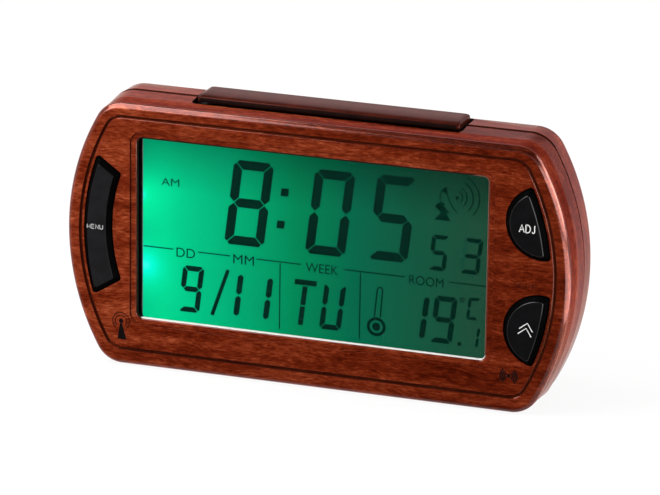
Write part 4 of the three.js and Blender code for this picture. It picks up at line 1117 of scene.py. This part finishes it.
def display():
    lens = loft("lens_plate", WINDOW, [
        (1.7, -1.15, 2.95), (1.75, -1.2, 3), (2.65, -1.2, 3), (2.7, -1.15, 2.95)], 2, 8)
    settle(lens, "case", LENS, ["display_lens"])
    rim = loft("lens_rim", WINDOW, [(0.7, 0.03, 1.77), (1.66, 0.03, 1.77)], 2, 10)
    cut(rim, loft("rim_hole", WINDOW, [(0, 0.22, 1.58), (3, 0.22, 1.58)], 2, 10))
    # The lens edge carries painted light and shade
    settle(rim, "case", LENS_EDGE_LIGHT)
    plate = rectangle(VIEW_X, VIEW_Z, GLASS_WIDTH, GLASS_HIGH)
    glass = loft("lcd_front_plate", plate, [
        (GLASS_FRONT, 0.1, 0.4), (GLASS_FRONT + 0.1, 0, 0.5), (GLASS_FRONT + GLASS_THICK, 0, 0.5)], 2, 3)
    settle(glass, "case", LCD, ["lcd_front_glass"])
    border = loft("lcd_border", plate, [(GLASS_FRONT - 0.04, 0.1, 0.4), (GLASS_FRONT - 0.005, 0.1, 0.4)], 2, 3)
    seen = rectangle(-1.0, 1.75, 102.46, 54.6)
    cut(border, loft("border_hole", seen, [(3, 0, 1.8), (3.6, 0, 1.8)], 2, 8))
    settle(border, "case", MASK)


def slanted(points, x, z):
    return [(x + u + v * DIGIT_SLANT, z + v) for u, v in points]


def digit(x, z, width, high, thick, corner, gap, lit):
    """Seven-segment digit whose lower left corner is at x, z; lit names its segments."""
    half, c, t, w, h = high / 2, corner, thick, width, high
    top = [(c / 2 + gap, h - c / 2), (c, h), (w - c, h), (w - c / 2 - gap, h - c / 2),
           (w - t - gap, h - t), (t + gap, h - t)]
    left = [(c / 2, h - c / 2 - gap), (0, h - c), (0, half + t / 2 + gap), (t / 2, half + gap),
            (t, half + t / 2 + gap), (t, h - t - gap)]
    middle = [(t / 2 + gap, half), (t + gap, half + t / 2), (w - t - gap, half + t / 2),
              (w - t / 2 - gap, half), (w - t - gap, half - t / 2), (t + gap, half - t / 2)]
    shapes = {
        "a": top, "f": left, "g": middle,
        "b": [(w - u, v) for u, v in left], "d": [(u, h - v) for u, v in top],
        "e": [(u, h - v) for u, v in left], "c": [(w - u, h - v) for u, v in left],
    }
    return [slanted(shapes[name], x, z) for name in lit]


def oblong(x0, x1, z0, z1):
    return [(x0, z0), (x1, z0), (x1, z1), (x0, z1)]


def figure_one(x, low, high, thick):
    """Two upright segments, one above the other."""
    half, point, gap = (high - low) / 2, thick * 0.4, 0.15
    shape = [(0, point), (thick / 2, 0), (thick, point), (thick, half - point - gap),
             (thick / 2, half - gap), (0, half - point - gap)]
    return [slanted(shape, x, low), slanted(shape, x + (half + gap) * DIGIT_SLANT, low + half + gap)]


BIG = {"width": 11.8, "high": 24.9, "thick": 2.7, "corner": 1.5, "gap": 0.16}
SMALL = {"high": 10.4, "thick": 1.25, "corner": 0.7, "gap": 0.12}
ROW = {"high": 13.8, "thick": 1.55, "corner": 0.9, "gap": 0.12}
LETTER_Z, RULE, RULE_Z = -21.9, 0.34, -3.7
BULB, DISH = (17.8, -19.3), (40.0, 21.0)


def time_of_day():
    """Hour and minute with a colon, then the seconds."""
    ink = digit(-27.5, -0.2, lit="abcdefg", **BIG) + digit(-3.6, -0.2, lit="abcdef", **BIG)
    ink += digit(14.6, 0.3, lit="acdfg", **BIG)
    ink += [slanted(oblong(0, 2.3, 0, 2.3), x, z) for x, z in ((-10.9, 15.6), (-12.0, 6.1))]
    return ink + digit(32.4, -0.8, 5.1, lit="acdfg", **SMALL) + digit(41.6, -0.7, 5.6, lit="abcdg", **SMALL)


def lower_row():
    """Day and month, temperature with its sign, and two letters for the day of the week."""
    ink = digit(-41.2, -21.8, 6.4, lit="abcdfg", **ROW) + digit(33.2, -21.8, 6.6, lit="abcdfg", **ROW)
    ink += [stroke([(-30.9, -21.8), (-26.2, -7.9)], 1.1)]
    for x in (-24.6, -15.8, 30.2):
        ink += figure_one(x, -21.2, -8.8, 1.7)
    ink += figure_one(46.6, -21.7, -16.1, 0.8)
    ink += [oblong(41.5, 42.6, -21.9, -20.8)]
    ink += digit(43.8, -13.9, 3.5, 6.5, 0.9, 0.5, 0.08, "adef")
    ink += [arc_points(42.6, -8.4, radius) for radius in (0.75, 0.42)]
    for x0, x1, z0, z1 in ((0.5, 7, 12.2, 13.8), (3, 4.5, 0.4, 5.9), (3, 4.5, 6.3, 11.9)):
        ink += [slanted([(x0, z0), (x0, z1), (x1, z1), (x1, z0)], -8.4, LETTER_Z)]
    return ink + digit(0.9, LETTER_Z, 6.4, lit="bcdef", **ROW)


def rules():
    """Thin lines between the fields."""
    level = [(-51.6, -42.6), (-35.2, -25.6), (-17.8, -4.6), (8.0, 25.8), (38.6, 50.4)]
    return ([oblong(x0, x1, RULE_Z - RULE / 2, RULE_Z + RULE / 2) for x0, x1 in level]
            + [oblong(x - RULE / 2, x + RULE / 2, -23.5, -4.1) for x in (-10.75, 12.9)])


def thermometer():
    tube = [(17.2, -16.4), (17.9, -8.6), *arc_points(18.7, -8.5, 0.8, 180, 0, 8), (18.9, -16.4)]
    return [arc_points(*BULB, radius) for radius in (2.8, 1.9, 1.2)] + [stroke(tube, 0.42)]


def receiving_dish():
    """Dish on its stand, and the waves before it."""
    ink = [[(34.0, 13.9), (38.8, 13.9), (37.4, 16.0), (37.2, 17.6), (36.1, 17.9), (35.9, 16.2)],
           [(34.1, 17.7), (35.0, 18.8), (36.9, 19.0), (36.7, 17.9)]]
    for row, pen in (
            ([(37.3, 23.6), (36.0, 22.4), (35.5, 20.6), (35.9, 18.9), (37.0, 17.4), (38.7, 16.5),
              (40.7, 16.4)], 0.32),
            ([(37.3, 23.6), (38.4, 22.9), (39.6, 21.2), (40.5, 18.9), (40.7, 16.4)], 0.32),
            ([(37.3, 23.4), (37.6, 21.6), (38.4, 19.4), (39.5, 17.7), (40.5, 16.6)], 0.28)):
        ink.append(stroke(row, pen))
    ink.append([(39.9, 21.3), (41.2, 21.3), (40.6, 20.3), (40.2, 20.2)])
    return ink + [stroke(arc_points(*DISH, radius, -42, 62, 14), 0.36) for radius in (2.0, 3.3, 5.1, 6.9)]


display()
printed(marks("polariser_edge", [[(-52.3, -24.4), (-52.02, -24.6), (-52.02, 28.0), (-52.3, 27.8)]], INK_Y),
        FILM_EDGE)
shown = time_of_day() + lower_row() + rules() + thermometer() + receiving_dish()
for name, shapes, ink in (("lcd_segments", shown, LCD_INK),
                          ("lcd_segments_off", digit(41.6, -0.7, 5.6, lit="ef", **SMALL), LCD_GHOST)):
    shapes = [[(x + SHIFT, z + SHIFT) for x, z in points] for points in shapes]
    printed(marks(name, shapes, INK_Y), ink)
for name, text, x, z, width, high in (
        ("am", "AM", -43.6, 15.9, 5.4, 2.2), ("day_number", "DD", -38.9, -4.4, 5.6, 2.7),
        ("month_number", "MM", -21.6, -4.4, 6.2, 2.7), ("week_day", "WEEK", 1.6, -4.3, 9.6, 2.7),
        ("room", "ROOM", 32.1, -4.3, 10.0, 2.7)):
    printed(words(f"lcd_word_{name}", text, x + SHIFT, z + SHIFT, width, high, INK_Y), LCD_INK)


# Feet, screws, cells, contacts and door

def foot_pad():
    pad = rod("rubber_foot_1", "Z", -TOP - 0.9, -TOP + 0.4, (-FOOT_X, FOOT_FRONT), 3.5, 48)
    soften(pad, lambda e: all(v.co.z < -TOP - 0.8 for v in e.verts), 0.3, 3)
    pick(pad, "FACE", lambda f: f.normal.z < -0.999)
    for inset in (0.5, 0.2):
        bpy.ops.mesh.inset(thickness=inset, depth=0)
    bpy.ops.transform.translate(value=(0, 0, 0.12))
    leave()
    return pad


def screw(x, z):
    piece = rod("shell_screw_1", "Y", 17.4, 19.4, (x, z), 2.2)
    soften(piece, lambda e: all(v.co.y > 19.3 for v in e.verts), 0.5, 3)
    for wide, tall in ((0.7, 2.6), (2.6, 0.7)):
        cut(piece, block("cross", (x - wide / 2, x + wide / 2), (18.4, 20), (z - tall / 2, z + tall / 2)))
    return join(piece, rod("shank", "Y", 5.5, 18.4, (x, z), 1.2, 24))


wide, deep = 2 * FOOT_X, FOOT_REAR - FOOT_FRONT
settle_set(foot_pad(), "rubber_foot", ((wide, 0, 0), (0, deep, 0), (wide, deep, 0)), RUBBER, "foot")
wide, tall = 2 * SCREW_X, 2 * SCREW_Z
settle_set(screw(-SCREW_X, SCREW_Z), "shell_screw", ((wide, 0, 0), (0, 0, -tall), (wide, 0, -tall)), STEEL,
           "case_screw")


def dry_cell(name, side, z):
    """Cell with rounded shoulders; side is 1 where its button end points right."""
    base = -side * CELL_START
    end = base + side * CELL_LENGTH
    body = rod(name, "X", min(base, end), max(base, end), (CELL_Y, z), CELL_RADIUS, 64)
    soften(body, sharp, 0.55, 4)
    inner, outer = sorted((end - side, end + side * NUB_LENGTH))
    nub = rod("nub", "X", inner, outer, (CELL_Y, z), 2.7)
    soften(nub, sharp, 0.25, 2)
    return join(body, nub)


for name, side, z in (("cell_upper", 1, UPPER_Z), ("cell_lower", -1, LOWER_Z)):
    cell = settle(dry_cell(f"dry_{name}", side, z), "case", CELL, [name])
    dress(cell, STEEL, lambda at, normal: abs(normal.x) > 0.9)


def coil(side, z):
    """Conical contact spring from the plate to the flat end of a cell."""
    reach = PLATE_X - 23.5
    points = []
    for k in range(COIL_TURNS * COIL_STEPS + 1):
        share = k / (COIL_TURNS * COIL_STEPS)
        radius = 4.0 - 1.7 * share
        angle = 2 * pi * k / COIL_STEPS
        along = -side * (PLATE_X - 0.3 - (reach - 0.5) * share)
        points.append((along, CELL_Y + radius * cos(angle), z + radius * sin(angle)))
    return wire("coil", points, 0.28)


def contact_plate(name, x, z, high, tab):
    thick = (x - PLATE_HALF, x + PLATE_HALF)
    plate = block(name, thick, (21.0, 32.0), (z - high / 2, z + high / 2))
    soften(plate, sharp, 0.1, 2)
    if tab:
        join(plate, block("tab", thick, (17.9, 21.7), (z - 1.5, z + 1.5)))
    return plate


minus = join(contact_plate("spring_contact", -PLATE_X, UPPER_Z, PLATE_HIGH, True), coil(1, UPPER_Z))
link = join(contact_plate("link_contact", PLATE_X, -13, 24.2, False), coil(-1, LOWER_Z))
plus = contact_plate("flat_contact", -PLATE_X, LOWER_Z, PLATE_HIGH, True)
for piece, node_name in ((minus, "contact_spring_minus"), (link, "contact_link"), (plus, "contact_plate_plus")):
    settle(piece, "case", STEEL, [node_name])


def bay_door():
    door = block("bay_door", (-BAY_HALF, BAY_HALF), (36.2, CASE_DEPTH), (BAY_LOW, BAY_TOP))
    soften(door, sharp, 0.2, 2)
    for side in (-1, 1):
        cut(door, block("latch_slot", (side * 6.4 - 0.4, side * 6.4 + 0.4), (35, PAST_BACK), (-1.3, 5)))
        across = (side * TAB_X - 3, side * TAB_X + 3)
        join(door, block("leg", across, (34.4, 36.5), (-29.4, -28.2)),
             block("tab", across, (34.4, 35.6), (-31.2, -28.2)))
    for row in (1, 2, 3):
        z = BAY_TOP - 1.4 * row
        cut(door, block("grip", (-5.5, 5.5), (37.5, PAST_BACK), (z - 0.25, z + 0.25)))
    return cut(door, marks("arrow", [[(-1.6, -7.2), (1.6, -7.2), (0, -4.6)]], CASE_DEPTH, 0.6))


door = settle(bay_door(), "battery_door", WOOD_PRINT, ["battery_door"])
dress(door, BLACK_PLASTIC, lambda at, normal: at.y < 37.6)

# Finishes of the nodes that stay
for material, *names in (
        (PALE_RUBBER, "key_dome_mode", "key_dome_set", "key_dome_up"), (GUIDE, "lcd_rear_glass", "light_guide"),
        (WHITE_SHEET, "reflector_sheet", "led_upper", "led_lower"), (ZEBRA, "zebra_strip"),
        (BLACK_PLASTIC, "lcd_frame", "snooze_switch"), (BOARD, "main_board", "receiver_board"),
        (EPOXY, "controller_blob", "temperature_sensor"), (FERRITE, "ferrite_rod"), (BRASS, "buzzer"),
        (STEEL, "quartz_crystal", "board_screw_1", "board_screw_2", "board_screw_3", "board_screw_4"),
        (COPPER, "antenna_coil", "antenna_lead"), (BLACK_WIRE, "buzzer_lead", "battery_lead_minus"),
        (RED_WIRE, "battery_lead_plus")):
    for name in names:
        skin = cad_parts[name].data.materials
        skin.clear()
        skin.append(material)


# Floor, light and camera

def ways(tree):
    """Whether a ray comes from the camera, from gloss or through glass."""
    path = node(tree, "ShaderNodeLightPath").outputs
    return [Value(path[f"Is {kind} Ray"]) for kind in ("Camera", "Glossy", "Transmission")]


def floor():
    """Sheet that the camera, gloss and glass see as nearly plain white."""
    deselect()
    bpy.ops.mesh.primitive_plane_add(size=1, location=(0, 0, 0))
    sheet = newest("studio_floor")
    sheet.scale = (9, 9, 1)
    apply_place()
    material, tree, shader = new_material("floor_white", Roughness=0.9, Specular_IOR_Level=0.0,
                                          Base_Color=(0.85, 0.85, 0.85, 1))
    camera, glossy, through = ways(tree)
    white = node(tree, "ShaderNodeEmission", Color=(1, 1, 1, 1), Strength=1.0).outputs[0]
    seen = node(tree, "ShaderNodeMixShader", Fac=camera.most(glossy.most(through)) * 0.9,
                i1=shader.outputs[0], i2=white)
    fill(tree.nodes["Material Output"], Surface=seen.outputs[0])
    sheet.data.materials.append(material)


def lamp(name, place, target, size, size_y, power, gloss_only=False):
    """Soft box; power in watts. A gloss-only one is a reflector that shows in shiny surfaces."""
    bpy.ops.object.light_add(type="AREA", location=place)
    light = bpy.context.object
    light.name = name
    light.data.shape = "RECTANGLE"
    light.data.size, light.data.size_y = size, size_y
    light.data.energy = power
    light.rotation_euler = (Vector(target) - Vector(place)).to_track_quat("-Z", "Y").to_euler()
    light.visible_camera = False
    light.visible_diffuse = not gloss_only


def studio_air():
    """White for the camera and glass, dim for diffuse light, darker towards the top for gloss."""
    world = bpy.data.worlds.new("studio_air")
    bpy.context.scene.world = world
    world.use_nodes = True
    air = world.node_tree
    air.nodes.clear()
    camera, glossy, through = ways(air)
    height = axes_of(air, node(air, "ShaderNodeTexCoord").outputs["Generated"])[2]
    shiny = ramp(air, height, [(0.44, (1,) * 3), (0.5, (0.25,) * 3), (0.62, (0.06,) * 3)])
    strength = blend(air, camera.most(through), blend(air, glossy, 0.34, shiny), 1.0)
    sky = node(air, "ShaderNodeBackground", Color=(1, 1, 1, 1), Strength=strength)
    node(air, "ShaderNodeOutputWorld", Surface=sky.outputs[0])


floor()
lamp("overhead_left", (-0.49, -0.1, 0.85), (-0.49, -0.09, 0), 0.4, 1.1, 10.5)
lamp("far_left_panel", (-0.92, -0.1, 0.85), (-0.92, -0.09, 0), 0.44, 1.1, 10, True)
lamp("front_left", (-0.32, -0.34, 0.3), (-0.04, 0, 0.04), 0.3, 0.3, 2.5)
lamp("right_side", (0.85, 0.3, 0.42), (0, 0, 0.04), 0.7, 0.78, 10)
lamp("right_panel", (0.6, -0.3, 0.14), (0, -0.3, 0.14), 1.2, 0.25, 6, True)
lamp("right_reflector", (0.31, -0.145, 0.001), (0.31, -0.145, 1), 0.38, 0.43, 2.6, True)
studio_air()

CAMERA_PLACE = (0.39901, -1.19402, 0.44288)
CAMERA_RIGHT = (0.94655, 0.32225, 0.01408)
CAMERA_UP = (-0.11174, 0.28664, 0.95150)
CAMERA_BACK = (0.30259, -0.90221, 0.30732)
SENSOR = 36.0
FOCAL_PIXELS, IMAGE_WIDTH = 4700, 660
bpy.ops.object.camera_add()
camera = bpy.context.object
camera.name = "photo_camera"
turned = Matrix((CAMERA_RIGHT, CAMERA_UP, CAMERA_BACK)).transposed().to_4x4()
camera.matrix_world = Matrix.Translation(CAMERA_PLACE) @ turned
camera.data.sensor_width = SENSOR
camera.data.lens = FOCAL_PIXELS * SENSOR / IMAGE_WIDTH
camera.data.clip_end = 50
bpy.context.scene.camera = camera
bpy.context.scene.view_settings.view_transform = "Standard"
